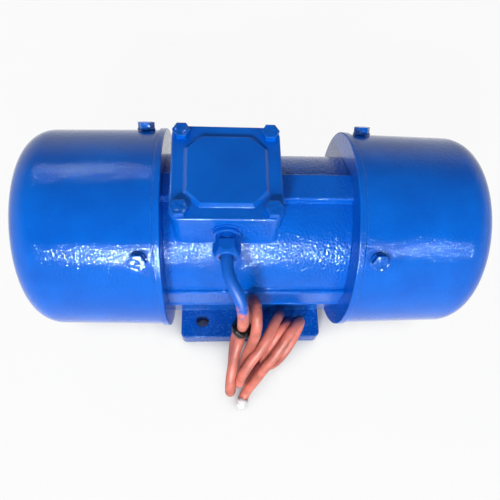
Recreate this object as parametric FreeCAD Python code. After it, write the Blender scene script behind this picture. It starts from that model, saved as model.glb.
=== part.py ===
import FreeCAD, Part
import math
import os
from FreeCAD import Placement, Rotation, Vector

# Foot-mounted vibration motor: a cast frame with a wound stator, a rotor on two
# roller bearings, and a fixed and an adjustable eccentric weight on each shaft end
# under a domed cover.
# Row frame, in millimetres: the origin is the centre of the foot bolt pattern on the
# mounting plane, +X runs along the shaft, +Z goes up through the terminal box, and the
# supply cable leaves the box towards -Y.
# Lengths along X are counted from the middle of the frame. Each end piece is modelled
# at the +X end and mirrored for the -X end.

# ---- Driving dimensions -----------------------------------------------------
AXIS_HEIGHT = 97.0            # mounting plane to shaft axis

# frame
FRAME_LENGTH = 163.0
BARREL_R = 72.0
BARREL_WALL = 12.0
SIDE_HALF_WIDTH = 74.5        # flat sides of the pedestal, from the axis plane
SIDE_TOP = 15.0               # top edge of the flat side, above the axis
SIDE_KNEE = 13.0              # where the side turns inwards, below the axis
PEDESTAL_HALF_WIDTH = 57.0    # pedestal where it meets the foot
PEDESTAL_EDGE_R = 2.5
TOP_PAD_WIDTH = 26.0          # flat land along the top of the barrel
TOP_PAD_HEIGHT = 5.5
TOP_PAD_EDGE_R = 2.0

# foot
FOOT_LENGTH = 151.0
FOOT_WIDTH = 177.0
FOOT_THICKNESS = 18.0
FOOT_CORNER_R = 6.0
FOOT_EDGE_R = 1.8
FOOT_HOLE_R = 7.0             # clearance hole for an M12 bolt
FOOT_SPACING_X = 105.0
FOOT_SPACING_Y = 140.0

# end shields
REGISTER_R = 63.0             # spigot that centres the shield in the frame
REGISTER_DEPTH = 6.0
REGISTER_WALL = 5.0
SHIELD_R = 95.0
SHIELD_RIM = 6.0
SHIELD_WEB = 8.5
SHIELD_EDGE_R = 0.8
HUB_R = 46.0
HUB_SHOULDER = 5.0
COVER_SEAT_WALL = 10.0        # ring that the cover slips over
COVER_SEAT_LENGTH = 19.5
SHIELD_RIBS = 6
RIB_THICKNESS = 5.0
RIB_HEIGHT = 6.0
SHIELD_SCREWS = 6
SHIELD_SCREW_CIRCLE_R = 67.5

# covers: torispherical caps
COVER_R = 93.4                # outside radius at the open edge
COVER_TAPER = 1.1             # degrees of draft on the side
COVER_WALL = 2.0
COVER_APEX = 216.0            # outside of the dome, from the middle of the frame
COVER_CROWN_R = 274.0
COVER_KNUCKLE_R = 26.0
COVER_BOLTS = 4
COVER_BOLT_INSET = 11.5       # bolt line, from the cover's open edge
GASKET_THICKNESS = 1.0

# roller bearings
BEARING_BORE_R = 15.0
BEARING_OUTER_R = 36.0
BEARING_WIDTH = 19.0
BEARING_POSITION = 74.0       # inner face, from the middle of the frame
ROLLER_R = 5.4
ROLLER_LENGTH = 11.0
ROLLER_COUNT = 10
ROLLER_CLEARANCE = 0.2
BEARING_RIB = 2.0             # height of the guide ribs above the raceways
CAGE_WALL = 3.4
CAGE_SIDE = 1.6
CAP_THICKNESS = 6.0
CAP_LIP = 1.0
CAP_LIP_WALL = 4.0
CAP_SCREWS = 4
SEAL_WIDTH = 2.8
SEAL_R = 25.0

# shaft and rotor
CORE_LENGTH = 84.0            # stator and rotor laminations
STATOR_BORE_R = 35.0
AIR_GAP = 0.4
ROTOR_SEAT_R = 20.0
SHOULDER_R = 18.5
WEIGHT_SEAT_R = 14.0
THREAD_R = 12.0
SHAFT_CHAMFER = 1.2
ROTOR_BARS = 18
BAR_R = 2.6
BAR_CIRCLE_R = 30.8
END_RING_LENGTH = 10.0
END_RING_WALL = 12.0
STATOR_SLOTS = 18
SLOT_WIDTH = 5.0
SLOT_DEPTH = 13.0
SLOT_MOUTH = 2.2
SLOT_LIP = 1.5
COIL_HEAD_LENGTH = 19.0
COIL_HEAD_WALL = 18.0
COIL_HEAD_ROUND = 5.0

# eccentric weights
WEIGHT_THICKNESS = 24.0
WEIGHT_R = 80.0
WEIGHT_ANGLE = 150.0
WEIGHT_HUB_R = 26.0
WEIGHT_GAP = 0.5
WEIGHT_START = 110.0          # inner face of the fixed weight
SPACER_R = 19.0
CLAMP_SLIT = 3.0
CLAMP_LUG_WIDTH = 28.0
CLAMP_LUG_HEIGHT = 17.0
CLAMP_BOLT_R = 4.0
KEY_WIDTH = 8.0
KEY_HEIGHT = 7.0
KEY_DEPTH = 4.0
KEY_LENGTH = 20.0
END_WASHER_R = 24.0
END_WASHER_THICKNESS = 2.5
END_NUT_ACROSS = 36.0
END_NUT_HEIGHT = 14.0
THREAD_STANDOUT = 4.0

# terminal box and lid
BOX_X = -28.0
BOX_SIDE = 89.0
BOX_WALL = 5.0
BOX_CORNER_R = 8.0
BOX_TOP = 90.5                # above the axis
BOX_FLOOR = 68.0              # above the axis
LID_SIDE = 91.0
LID_CORNER_R = 9.5
LID_RIM = 5.0
LID_EDGE_R = 1.4
LID_PANEL_SIDE = 69.0
LID_PANEL_HEIGHT = 3.0
LID_PANEL_BEVEL = 2.6
LID_PANEL_CORNER = 13.0
LID_POCKET_SIDE = 62.0
LID_POCKET_DEPTH = 5.0
LID_GASKET = 1.5
LID_BOLT_SPACING = 74.4
LID_BOSS_R = 7.3
LID_SEAT_R = 9.6
LID_BOLT_DEPTH = 14.0
DUCT_X = -53.0
DUCT_R = 8.0

# terminal block
BLOCK_X = -18.0
BLOCK_LENGTH = 44.0
BLOCK_WIDTH = 32.0
BLOCK_HEIGHT = 8.0
STUD_PITCH_X = 14.0
STUD_PITCH_Y = 16.0
STUD_R = 2.0
STUD_HEIGHT = 10.0
BLOCK_CORNER_R = 2.0
BLOCK_SCREW_INSET = 4.0
BLOCK_SCREW_HEAD = 2.8
BLOCK_SCREW_GRIP = 4.0        # thread in the floor of the box
TERMINAL_NUT_ACROSS = 7.0
TERMINAL_NUT_HEIGHT = 3.2
LINK_WIDTH = 7.0
LINK_THICKNESS = 1.2
LEAD_R = 1.3
LEAD_PITCH = 3.9              # leads side by side, centre to centre
LEAD_RUN = 6.0                # short run where a lead turns in to its stud
LANE_OFFSET = 5.0             # nearest lead, in front of the studs
DUCT_BEND_DEPTH = 3.0         # start of the bend, below the floor of the box
CORE_PITCH = 2.9
CORE_STRAIGHT = 5.0           # straight start of each core, out of the sheath
EARTH_X = 5.0
EARTH_Y = -22.0
EARTH_SCREW_LENGTH = 6.0

# cable gland
GLAND_HEIGHT = 76.0           # above the axis
GLAND_THREAD_R = 8.0
GLAND_WASHER_R = 12.3
GLAND_WASHER_THICKNESS = 1.2
GLAND_FLANGE_R = 11.2
GLAND_FLANGE_THICKNESS = 3.0
GLAND_NECK_R = 9.2
GLAND_NECK_LENGTH = 7.0
GLAND_NUT_ACROSS = 20.0
GLAND_NUT_LENGTH = 12.0
GLAND_NUT_BACK_R = 15.0       # cone that rounds off the nut's corners
GLAND_NUT_FACE_R = 9.0
GLAND_SEAL_SETBACK = 1.5
GLAND_MOUTH_R = 6.4

# supply cable
CABLE_R = 5.0
CABLE_TAIL = 4.0              # sheath that stands inside the box
TIE_WALL = 1.3
TIE_WIDTH = 11.0
END_CAP_R = 5.8
END_CAP_LENGTH = 8.5
HANK_TOP = 86.0               # the fan of loose turns, above the mounting plane
HANK_CORNER_R = 8.0
HANK_NECK_TOP = 91.0          # the turn that rises to the tie
HANK_NECK_R = 7.5

# fasteners: thread radius, width across flats, head height
M8 = (4.0, 13.0, 5.3)
M6 = (3.0, 10.0, 4.0)
M5 = (2.5, 8.0, 3.5)
WASHER_THICKNESS = 1.6
WASHER_RIM = 1.5              # washer beyond the flats of the head
COVER_BOLT_LENGTH = 16.0
SHIELD_SCREW_LENGTH = 20.0
CAP_SCREW_LENGTH = 14.0
LID_BOLT_LENGTH = 16.0

# clearances
SCREW_FIT = 0.1               # thread or shank in its hole, on the radius
SLIDE_FIT = 0.05              # register, seat and key fits, on the radius
RUNNING_FIT = 0.08            # turning parts on the shaft, on the radius
SOFT_GAP = 0.3                # soft or curved pieces beside their neighbours
HOLE_CLEARANCE = 0.5          # bolt in a plain hole, on the radius

# ---- Places worked out from the dimensions ----------------------------------
FRAME_END = FRAME_LENGTH / 2
SHIELD_FACE = FRAME_END + SHIELD_RIM
COVER_EDGE = SHIELD_FACE + GASKET_THICKNESS
COVER_BOLT_X = COVER_EDGE + COVER_BOLT_INSET
COVER_DRAFT = math.tan(math.radians(COVER_TAPER))
COVER_WALL_ACROSS = COVER_WALL / math.cos(math.radians(COVER_TAPER))
COVER_SEAT_END = SHIELD_FACE + COVER_SEAT_LENGTH
COVER_SEAT_R = COVER_R - COVER_WALL_ACROSS - (COVER_SEAT_END - COVER_EDGE) * COVER_DRAFT - SLIDE_FIT
STATOR_R = BARREL_R - BARREL_WALL
BEARING_END = BEARING_POSITION + BEARING_WIDTH
PITCH_R = (BEARING_BORE_R + BEARING_OUTER_R) / 2
HUB_END = BEARING_END + CAP_LIP
CAP_END = HUB_END + CAP_THICKNESS
CAP_SCREW_CIRCLE_R = (BEARING_OUTER_R + HUB_R) / 2
FIXED_END = WEIGHT_START + WEIGHT_THICKNESS
ADJUSTABLE_START = FIXED_END + WEIGHT_GAP
ADJUSTABLE_END = ADJUSTABLE_START + WEIGHT_THICKNESS
WASHER_START = ADJUSTABLE_END + WEIGHT_GAP
NUT_START = WASHER_START + END_WASHER_THICKNESS
SHAFT_END = NUT_START + END_NUT_HEIGHT + THREAD_STANDOUT
BOX_FRONT = -BOX_SIDE / 2
LID_BASE = BOX_TOP + LID_GASKET
LID_TOP = LID_BASE + LID_RIM
GLAND_START = BOX_FRONT - GLAND_WASHER_THICKNESS
GLAND_NECK_START = GLAND_START - GLAND_FLANGE_THICKNESS
GLAND_NUT_START = GLAND_NECK_START - GLAND_NECK_LENGTH
GLAND_MOUTH = GLAND_NUT_START - GLAND_NUT_LENGTH
STUD_BASE = BOX_FLOOR + BLOCK_HEIGHT
CABLE_TAIL_Y = BOX_FRONT + BOX_WALL + CABLE_TAIL

ALONG_X = Vector(1, 0, 0)
UP = Vector(0, 0, 1)
FRONT = Vector(0, -1, 0)

# The cable's free stretch, from the gland's mouth down in front of the frame to the
# top of the hank that lies over the front edge of the foot.
CABLE_ROUTE = [
    (BOX_X, GLAND_MOUTH, AXIS_HEIGHT + GLAND_HEIGHT),
    (BOX_X, -78.0, AXIS_HEIGHT + GLAND_HEIGHT),
    (-24.6, -88.0, 171.3),
    (-19.6, -96.4, 167.0),
    (-16.0, -103.3, 160.0),
    (-14.4, -109.0, 149.6),
    (-14.0, -110.5, 135.4),
    (-13.6, -107.0, 121.0),
    (-13.0, -101.5, 107.0),
    (-13.0, -101.5, HANK_NECK_TOP),
]
HANK_OUTLINE = [(-30, -152.5), (-27, -76), (56, -76), (56, -92), (4, -149), (-8, -152.5)]
HANK_PEAK = ((-13.0, 14.0), 119.0)   # the loop that stands highest: its X span and top
HANK_PEAK_DEPTH = 30.0
CAP_POINT = (-10.5, -152.5, 6.3)


# ---- Helpers ----------------------------------------------------------------
def on_axis(x, y=0.0, z=0.0):
    """A point given from the shaft axis."""
    return Vector(x, y, AXIS_HEIGHT + z)


def rod(base, direction, radius, length):
    return Part.makeCylinder(radius, length, base, direction)


def tube(base, direction, outer, inner, length):
    return rod(base, direction, outer, length).cut(rod(base, direction, inner, length))


def shaft_rod(x0, x1, radius):
    return rod(on_axis(x0), ALONG_X, radius, x1 - x0)


def shaft_ring(x0, x1, outer, inner):
    return tube(on_axis(x0), ALONG_X, outer, inner, x1 - x0)


def turned(profile):
    """Revolves a closed outline of (x, radius) points about the shaft axis."""
    points = [on_axis(x, 0, r) for x, r in profile]
    face = Part.Face(Part.makePolygon(points + points[:1]))
    return face.revolve(on_axis(0), ALONG_X, 360)


def block(x0, x1, y0, y1, z0, z1):
    return Part.makeBox(x1 - x0, y1 - y0, z1 - z0, Vector(x0, y0, z0))


def edges_along(shape, direction, test=None):
    """The straight edges that run along a direction."""
    lines = [edge for edge in shape.Edges if isinstance(edge.Curve, Part.Line)]
    along = [edge for edge in lines if abs(edge.tangentAt(edge.FirstParameter).dot(direction)) > 0.999]
    return [edge for edge in along if test is None or test(edge.CenterOfMass)]


def rounded_block(x0, x1, y0, y1, z0, z1, corner_r):
    """A block with its upright edges rounded."""
    solid = block(x0, x1, y0, y1, z0, z1)
    return solid.makeFillet(corner_r, edges_along(solid, UP))


def edges_at_height(shape, z):
    """The edges that lie wholly at one height."""
    return [e for e in shape.Edges
            if abs(e.BoundBox.ZMin - z) < 0.01 and abs(e.BoundBox.ZMax - z) < 0.01]


def square_prism(centre_x, side, z0, z1, corner_r):
    half = side / 2
    return rounded_block(centre_x - half, centre_x + half, -half, half, z0, z1, corner_r)


def hexagon(base, direction, across, length):
    """A hexagonal prism on a base point along a direction."""
    corner = across / math.sqrt(3)
    points = [Vector(corner * math.cos(math.radians(a)), corner * math.sin(math.radians(a)), 0)
              for a in range(0, 361, 60)]
    prism = Part.Face(Part.makePolygon(points)).extrude(Vector(0, 0, length))
    prism.Placement = Placement(base, Rotation(UP, direction))
    return prism


def hex_bolt(seat, direction, size, length):
    """A hexagon-head bolt: the head stands out from the seat, the shank goes in."""
    thread_r, across, head = size
    shank = rod(seat, direction * -1, thread_r, length)
    return hexagon(seat, direction, across, head).fuse(shank).removeSplitter()


def washer_radius(size):
    return size[1] / 2 + WASHER_RIM


def washered_bolt(seat, direction, size, length):
    """A bolt on a plain washer."""
    washer = tube(seat, direction, washer_radius(size), size[0] + SCREW_FIT, WASHER_THICKNESS)
    return [washer, hex_bolt(seat + direction * WASHER_THICKNESS, direction, size, length)]


def around(count, first=0.0):
    """Equally spaced angles in degrees."""
    return [first + 360.0 * i / count for i in range(count)]


def turn_about_shaft(shape, angle):
    copy = shape.copy()
    copy.rotate(on_axis(0), ALONG_X, angle)
    return copy


def at_radius(x, radius, angle):
    """A point at a radius from the shaft axis, with angle 0 at the top."""
    a = math.radians(angle)
    return on_axis(x, -radius * math.sin(a), radius * math.cos(a))


def outward(angle):
    a = math.radians(angle)
    return Vector(0, -math.sin(a), math.cos(a))


def mirrored(shape):
    return shape.mirror(Vector(0, 0, 0), ALONG_X)


def cut_all(shape, tools):
    return shape.cut(Part.makeCompound(tools))


def box_corners(spacing):
    half = spacing / 2
    return [(BOX_X + sx * half, sy * half) for sx in (-1, 1) for sy in (-1, 1)]


def tube_along(points, radius, name):
    """A round tube on straight runs joined by tangent arcs as large as the runs allow."""
    corners = [Vector(*p) for p in points]
    edges = []
    here = corners[0]
    radii = []
    for before, corner, after in zip(corners, corners[1:], corners[2:]):
        into = (corner - before).normalize()
        away = (after - corner).normalize()
        turn = into.getAngle(away)
        shorter = min((corner - before).Length, (after - corner).Length)
        reach = 0.45 * shorter
        bend_r = reach / math.tan(turn / 2)
        radii.append(round(bend_r, 1))
        start = corner - into * reach
        end = corner + away * reach
        towards_centre = (away - into).normalize()
        centre = corner + towards_centre * (bend_r / math.cos(turn / 2))
        middle = centre - towards_centre * bend_r
        edges.append(Part.LineSegment(here, start).toShape())
        edges.append(Part.Arc(start, middle, end).toShape())
        here = end
    edges.append(Part.LineSegment(here, corners[-1]).toShape())
    path = Part.Wire(edges)
    first_run = (corners[1] - corners[0]).normalize()
    section = Part.Wire(Part.makeCircle(radius, corners[0], first_run))
    solid = path.makePipeShell([section], True, False)
    expected = math.pi * radius ** 2 * path.Length
    print(name, "length", round(path.Length, 1), "bend radii", radii,
          "volume ratio", round(solid.Volume / expected, 4))
    return solid


# ---- Frame ------------------------------------------------------------------
def pedestal():
    """The frame's flat sides and their taper down to the foot."""
    outline = [(-SIDE_HALF_WIDTH, SIDE_TOP), (-SIDE_HALF_WIDTH, -SIDE_KNEE),
               (-PEDESTAL_HALF_WIDTH, FOOT_THICKNESS - AXIS_HEIGHT)]
    outline += [(-y, z) for y, z in reversed(outline)]
    points = [on_axis(-FRAME_END, y, z) for y, z in outline]
    solid = Part.Face(Part.makePolygon(points + points[:1])).extrude(Vector(FRAME_LENGTH, 0, 0))
    sides = edges_along(solid, ALONG_X, lambda p: abs(p.y) > SIDE_HALF_WIDTH - 1)
    return solid.makeFillet(PEDESTAL_EDGE_R, sides)


def foot_plate():
    plate = rounded_block(-FOOT_LENGTH / 2, FOOT_LENGTH / 2, -FOOT_WIDTH / 2, FOOT_WIDTH / 2,
                          0, FOOT_THICKNESS, FOOT_CORNER_R)
    return plate.makeFillet(FOOT_EDGE_R, edges_at_height(plate, FOOT_THICKNESS))


def top_pad():
    top = AXIS_HEIGHT + BARREL_R + TOP_PAD_HEIGHT
    half = TOP_PAD_WIDTH / 2
    pad = block(-FRAME_END, FRAME_END, -half, half, AXIS_HEIGHT + STATOR_R, top)
    return pad.makeFillet(TOP_PAD_EDGE_R, edges_along(pad, ALONG_X, lambda p: p.z > top - 1))


def box_cavity(z0, z1):
    """The box's open inside: a square with the four bolt bosses standing in it."""
    inside = square_prism(BOX_X, BOX_SIDE - 2 * BOX_WALL, z0, z1, BOX_CORNER_R - BOX_WALL)
    bosses = [rod(Vector(x, y, z0), UP, LID_BOSS_R, z1 - z0) for x, y in box_corners(LID_BOLT_SPACING)]
    return cut_all(inside, bosses)


def frame_casting():
    box_base = AXIS_HEIGHT + STATOR_R * 0.75
    box_top = AXIS_HEIGHT + BOX_TOP
    terminal_box = square_prism(BOX_X, BOX_SIDE, box_base, box_top, BOX_CORNER_R)
    casting = shaft_rod(-FRAME_END, FRAME_END, BARREL_R)
    casting = casting.multiFuse([pedestal(), foot_plate(), top_pad(), terminal_box])
    cuts = [shaft_rod(-FRAME_END, FRAME_END, STATOR_R + SLIDE_FIT)]
    for end in (-FRAME_END, FRAME_END - REGISTER_DEPTH):
        cuts.append(shaft_rod(end, end + REGISTER_DEPTH, REGISTER_R))
    for side in (-1, 1):
        for angle in around(SHIELD_SCREWS):
            hole = rod(at_radius(side * FRAME_END, SHIELD_SCREW_CIRCLE_R, angle), ALONG_X * -side,
                       M6[0] + SCREW_FIT, SHIELD_SCREW_LENGTH)
            cuts.append(hole)
    for sx in (-1, 1):
        for sy in (-1, 1):
            centre = Vector(sx * FOOT_SPACING_X / 2, sy * FOOT_SPACING_Y / 2, 0)
            cuts.append(rod(centre, UP, FOOT_HOLE_R, FOOT_THICKNESS))
    cuts.append(box_cavity(AXIS_HEIGHT + BOX_FLOOR, box_top))
    cuts.append(rod(Vector(DUCT_X, 0, AXIS_HEIGHT), UP, DUCT_R, BOX_FLOOR + 1))
    cuts.append(rod(on_axis(EARTH_X, EARTH_Y, BOX_FLOOR - EARTH_SCREW_LENGTH), UP, M5[0] + SCREW_FIT,
                    EARTH_SCREW_LENGTH))
    cuts += [rod(on_axis(x, y, BOX_FLOOR - BLOCK_SCREW_GRIP), UP, STUD_R + SCREW_FIT, BLOCK_SCREW_GRIP)
             for x, y in block_screw_places()]
    cuts.append(rod(gland_point(BOX_FRONT), FRONT * -1, GLAND_THREAD_R + SCREW_FIT, BOX_WALL + 1))
    for x, y in box_corners(LID_BOLT_SPACING):
        cuts.append(rod(Vector(x, y, box_top - LID_BOLT_DEPTH), UP, M8[0] + SCREW_FIT, LID_BOLT_DEPTH))
    return cut_all(casting, cuts).removeSplitter()


# ---- End shields ------------------------------------------------------------
def end_shield():
    """Shield with register, bearing hub and the ring that carries the cover."""
    web_back = SHIELD_FACE - SHIELD_WEB
    register_back = FRAME_END - REGISTER_DEPTH + SLIDE_FIT
    register_r = REGISTER_R - SLIDE_FIT
    hub_back = BEARING_POSITION - HUB_SHOULDER
    bore_r = BEARING_OUTER_R + SLIDE_FIT
    shoulder_bore = bore_r - HUB_SHOULDER
    seat_inner = COVER_SEAT_R - COVER_SEAT_WALL
    body = turned([
        (hub_back, shoulder_bore), (hub_back, HUB_R), (web_back, HUB_R),
        (web_back, register_r - REGISTER_WALL), (register_back, register_r - REGISTER_WALL),
        (register_back, register_r), (FRAME_END, register_r), (FRAME_END, SHIELD_R),
        (SHIELD_FACE, SHIELD_R), (SHIELD_FACE, COVER_SEAT_R), (COVER_SEAT_END, COVER_SEAT_R),
        (COVER_SEAT_END, seat_inner), (SHIELD_FACE, seat_inner), (SHIELD_FACE, HUB_R), (HUB_END, HUB_R),
        (HUB_END, bore_r), (BEARING_POSITION, bore_r), (BEARING_POSITION, shoulder_bore)])
    circles = [edge for edge in body.Edges if isinstance(edge.Curve, Part.Circle)]
    body = body.makeFillet(SHIELD_EDGE_R, [e for e in circles if abs(e.Curve.Radius - SHIELD_R) < 0.01])
    rib = block(SHIELD_FACE, SHIELD_FACE + RIB_HEIGHT, -RIB_THICKNESS / 2, RIB_THICKNESS / 2,
                AXIS_HEIGHT + HUB_R - 1, AXIS_HEIGHT + seat_inner + 1)
    between = 180.0 / SHIELD_RIBS
    ribs = [turn_about_shaft(rib, angle) for angle in around(SHIELD_RIBS, between)]
    cuts = []
    for angle in around(SHIELD_SCREWS):
        start = at_radius(FRAME_END, SHIELD_SCREW_CIRCLE_R, angle)
        cuts.append(rod(start, ALONG_X, M6[0] + HOLE_CLEARANCE, SHIELD_RIM))
    for angle in around(COVER_BOLTS, 45):
        start = at_radius(COVER_BOLT_X, seat_inner - 1, angle)
        cuts.append(rod(start, outward(angle), M8[0] + SCREW_FIT, COVER_SEAT_WALL + 2))
    for angle in around(CAP_SCREWS, 45):
        start = at_radius(HUB_END, CAP_SCREW_CIRCLE_R, angle)
        cuts.append(rod(start, ALONG_X * -1, M5[0] + SCREW_FIT, CAP_SCREW_LENGTH))
    return cut_all(body.multiFuse(ribs), cuts).removeSplitter()


def shield_screws():
    return [hex_bolt(at_radius(SHIELD_FACE, SHIELD_SCREW_CIRCLE_R, angle), ALONG_X, M6, SHIELD_SCREW_LENGTH)
            for angle in around(SHIELD_SCREWS)]


def bearing_cap():
    """Cap that holds the bearing's outer ring and the shaft seal."""
    bore = SPACER_R + HOLE_CLEARANCE
    lip_r = BEARING_OUTER_R - SLIDE_FIT
    groove_start = HUB_END + (CAP_THICKNESS - SEAL_WIDTH) / 2 - SLIDE_FIT
    groove_end = groove_start + SEAL_WIDTH + 2 * SLIDE_FIT
    groove_r = SEAL_R + SLIDE_FIT
    cap = turned([
        (HUB_END, bore), (HUB_END, lip_r - CAP_LIP_WALL), (BEARING_END, lip_r - CAP_LIP_WALL),
        (BEARING_END, lip_r), (HUB_END, lip_r), (HUB_END, HUB_R), (CAP_END, HUB_R), (CAP_END, bore),
        (groove_end, bore), (groove_end, groove_r), (groove_start, groove_r), (groove_start, bore)])
    holes = [rod(at_radius(HUB_END, CAP_SCREW_CIRCLE_R, angle), ALONG_X, M5[0] + SCREW_FIT, CAP_THICKNESS)
             for angle in around(CAP_SCREWS, 45)]
    return cut_all(cap, holes)


def cap_screws():
    return [hex_bolt(at_radius(CAP_END, CAP_SCREW_CIRCLE_R, angle), ALONG_X, M5, CAP_SCREW_LENGTH)
            for angle in around(CAP_SCREWS, 45)]


def shaft_seal():
    start = HUB_END + (CAP_THICKNESS - SEAL_WIDTH) / 2
    return shaft_ring(start, start + SEAL_WIDTH, SEAL_R, SPACER_R + RUNNING_FIT)


# ---- Bearings ---------------------------------------------------------------
def bearing_outer_ring():
    race = PITCH_R + ROLLER_R + ROLLER_CLEARANCE
    rib_width = (BEARING_WIDTH - ROLLER_LENGTH) / 2 - ROLLER_CLEARANCE
    x0, x1 = BEARING_POSITION, BEARING_END
    rib_r = race - BEARING_RIB
    return turned([(x0, rib_r), (x0, BEARING_OUTER_R), (x1, BEARING_OUTER_R), (x1, rib_r),
                   (x1 - rib_width, rib_r), (x1 - rib_width, race), (x0 + rib_width, race),
                   (x0 + rib_width, rib_r)])


def bearing_inner_ring():
    race = PITCH_R - ROLLER_R - ROLLER_CLEARANCE
    rib_width = (BEARING_WIDTH - ROLLER_LENGTH) / 2 - ROLLER_CLEARANCE
    bore = BEARING_BORE_R + SLIDE_FIT
    x0, x1 = BEARING_POSITION, BEARING_END
    rib_r = race + BEARING_RIB
    return turned([(x0, bore), (x0, rib_r), (x0 + rib_width, rib_r), (x0 + rib_width, race),
                   (x1, race), (x1, bore)])


def rollers():
    start = BEARING_POSITION + (BEARING_WIDTH - ROLLER_LENGTH) / 2
    return [rod(at_radius(start, PITCH_R, angle), ALONG_X, ROLLER_R, ROLLER_LENGTH)
            for angle in around(ROLLER_COUNT)]


def roller_cage():
    """Ring between the rollers, with one pocket for each."""
    length = ROLLER_LENGTH + 2 * CAGE_SIDE + 2 * ROLLER_CLEARANCE
    start = BEARING_POSITION + (BEARING_WIDTH - length) / 2
    band = shaft_ring(start, start + length, PITCH_R + CAGE_WALL / 2, PITCH_R - CAGE_WALL / 2)
    pockets = [rod(at_radius(start + CAGE_SIDE, PITCH_R, angle), ALONG_X, ROLLER_R + ROLLER_CLEARANCE,
                   ROLLER_LENGTH + 2 * ROLLER_CLEARANCE) for angle in around(ROLLER_COUNT)]
    return cut_all(band, pockets)


# ---- Stator -----------------------------------------------------------------
def slot_cutter(width, mouth, bottom_r, lip, half_length):
    """One radial slot with its narrow mouth, at the top of the bore."""
    slot = block(-half_length, half_length, -width / 2, width / 2, AXIS_HEIGHT + STATOR_BORE_R + lip,
                 AXIS_HEIGHT + bottom_r)
    opening = block(-half_length, half_length, -mouth / 2, mouth / 2, AXIS_HEIGHT + STATOR_BORE_R - 1,
                    AXIS_HEIGHT + STATOR_BORE_R + lip + 1)
    return slot.fuse(opening)


def stator_core():
    core = shaft_ring(-CORE_LENGTH / 2, CORE_LENGTH / 2, STATOR_R, STATOR_BORE_R)
    bottom = STATOR_BORE_R + SLOT_LIP + SLOT_DEPTH
    slot = slot_cutter(SLOT_WIDTH, SLOT_MOUTH, bottom, SLOT_LIP, CORE_LENGTH / 2)
    return cut_all(core, [turn_about_shaft(slot, angle) for angle in around(STATOR_SLOTS)])


def stator_windings():
    """The coil sides in the slots, joined by a rounded coil head at each end."""
    head_start = CORE_LENGTH / 2 + SOFT_GAP
    head_end = head_start + COIL_HEAD_LENGTH
    head_inner = STATOR_BORE_R + SLOT_LIP + SOFT_GAP
    side_inner = head_inner + SOFT_GAP
    side_outer = STATOR_BORE_R + SLOT_LIP + SLOT_DEPTH - SOFT_GAP
    reach = head_start + COIL_HEAD_ROUND
    half_width = SLOT_WIDTH / 2 - SOFT_GAP
    side = block(-reach, reach, -half_width, half_width, AXIS_HEIGHT + side_inner, AXIS_HEIGHT + side_outer)
    sides = [turn_about_shaft(side, angle) for angle in around(STATOR_SLOTS)]
    head = shaft_ring(head_start, head_end, head_inner + COIL_HEAD_WALL, head_inner)
    far = [e for e in head.Edges if isinstance(e.Curve, Part.Circle) and e.BoundBox.XMin > head_end - 1]
    head = head.makeFillet(COIL_HEAD_ROUND, far)
    return head.multiFuse(sides + [mirrored(head)]).removeSplitter()


# ---- Rotor ------------------------------------------------------------------
def shaft_half_profile():
    """(x, radius) of the shaft's steps from the middle to the threaded end."""
    seat = CORE_LENGTH / 2
    return [(0, ROTOR_SEAT_R), (seat, ROTOR_SEAT_R), (seat, SHOULDER_R), (BEARING_POSITION, SHOULDER_R),
            (BEARING_POSITION, BEARING_BORE_R), (BEARING_END, BEARING_BORE_R), (BEARING_END, WEIGHT_SEAT_R),
            (WASHER_START, WEIGHT_SEAT_R), (WASHER_START, THREAD_R), (SHAFT_END - SHAFT_CHAMFER, THREAD_R),
            (SHAFT_END, THREAD_R - SHAFT_CHAMFER)]


def shaft():
    half = shaft_half_profile()
    outline = [(-SHAFT_END, 0)] + [(-x, r) for x, r in reversed(half[1:])] + half[1:] + [(SHAFT_END, 0)]
    body = turned(outline)
    start = WEIGHT_START + (WEIGHT_THICKNESS - KEY_LENGTH) / 2 - SLIDE_FIT
    half_width = KEY_WIDTH / 2 + SLIDE_FIT
    keyway = block(start, start + KEY_LENGTH + 2 * SLIDE_FIT, -half_width, half_width,
                   AXIS_HEIGHT + WEIGHT_SEAT_R - KEY_DEPTH, AXIS_HEIGHT + WEIGHT_SEAT_R + 1)
    return cut_all(body, [keyway, mirrored(keyway)])


def rotor_core():
    core = shaft_ring(-CORE_LENGTH / 2, CORE_LENGTH / 2, STATOR_BORE_R - AIR_GAP, ROTOR_SEAT_R + SLIDE_FIT)
    holes = [rod(at_radius(-CORE_LENGTH / 2, BAR_CIRCLE_R, angle), ALONG_X, BAR_R + SLIDE_FIT, CORE_LENGTH)
             for angle in around(ROTOR_BARS)]
    return cut_all(core, holes)


def rotor_cage():
    """The cast squirrel cage: bars through the core and a ring at each end."""
    half = CORE_LENGTH / 2
    outer = STATOR_BORE_R - AIR_GAP - 0.5
    ring = shaft_ring(half, half + END_RING_LENGTH, outer, outer - END_RING_WALL)
    bars = [rod(at_radius(-half - 1, BAR_CIRCLE_R, angle), ALONG_X, BAR_R, CORE_LENGTH + 2)
            for angle in around(ROTOR_BARS)]
    return ring.multiFuse([mirrored(ring)] + bars).removeSplitter()


def spacer_sleeve():
    return shaft_ring(BEARING_END, WEIGHT_START, SPACER_R, WEIGHT_SEAT_R + SLIDE_FIT)


# ---- Eccentric weights ------------------------------------------------------
def weight_blank(x0):
    """A sector that hangs below the shaft, with a round hub."""
    half = math.radians(WEIGHT_ANGLE / 2)
    left = on_axis(x0, -WEIGHT_R * math.sin(half), -WEIGHT_R * math.cos(half))
    right = on_axis(x0, WEIGHT_R * math.sin(half), -WEIGHT_R * math.cos(half))
    edges = [Part.LineSegment(on_axis(x0), left).toShape(),
             Part.Arc(left, on_axis(x0, 0, -WEIGHT_R), right).toShape(),
             Part.LineSegment(right, on_axis(x0)).toShape()]
    sector = Part.Face(Part.Wire(edges)).extrude(Vector(WEIGHT_THICKNESS, 0, 0))
    return sector.fuse(shaft_rod(x0, x0 + WEIGHT_THICKNESS, WEIGHT_HUB_R))


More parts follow.
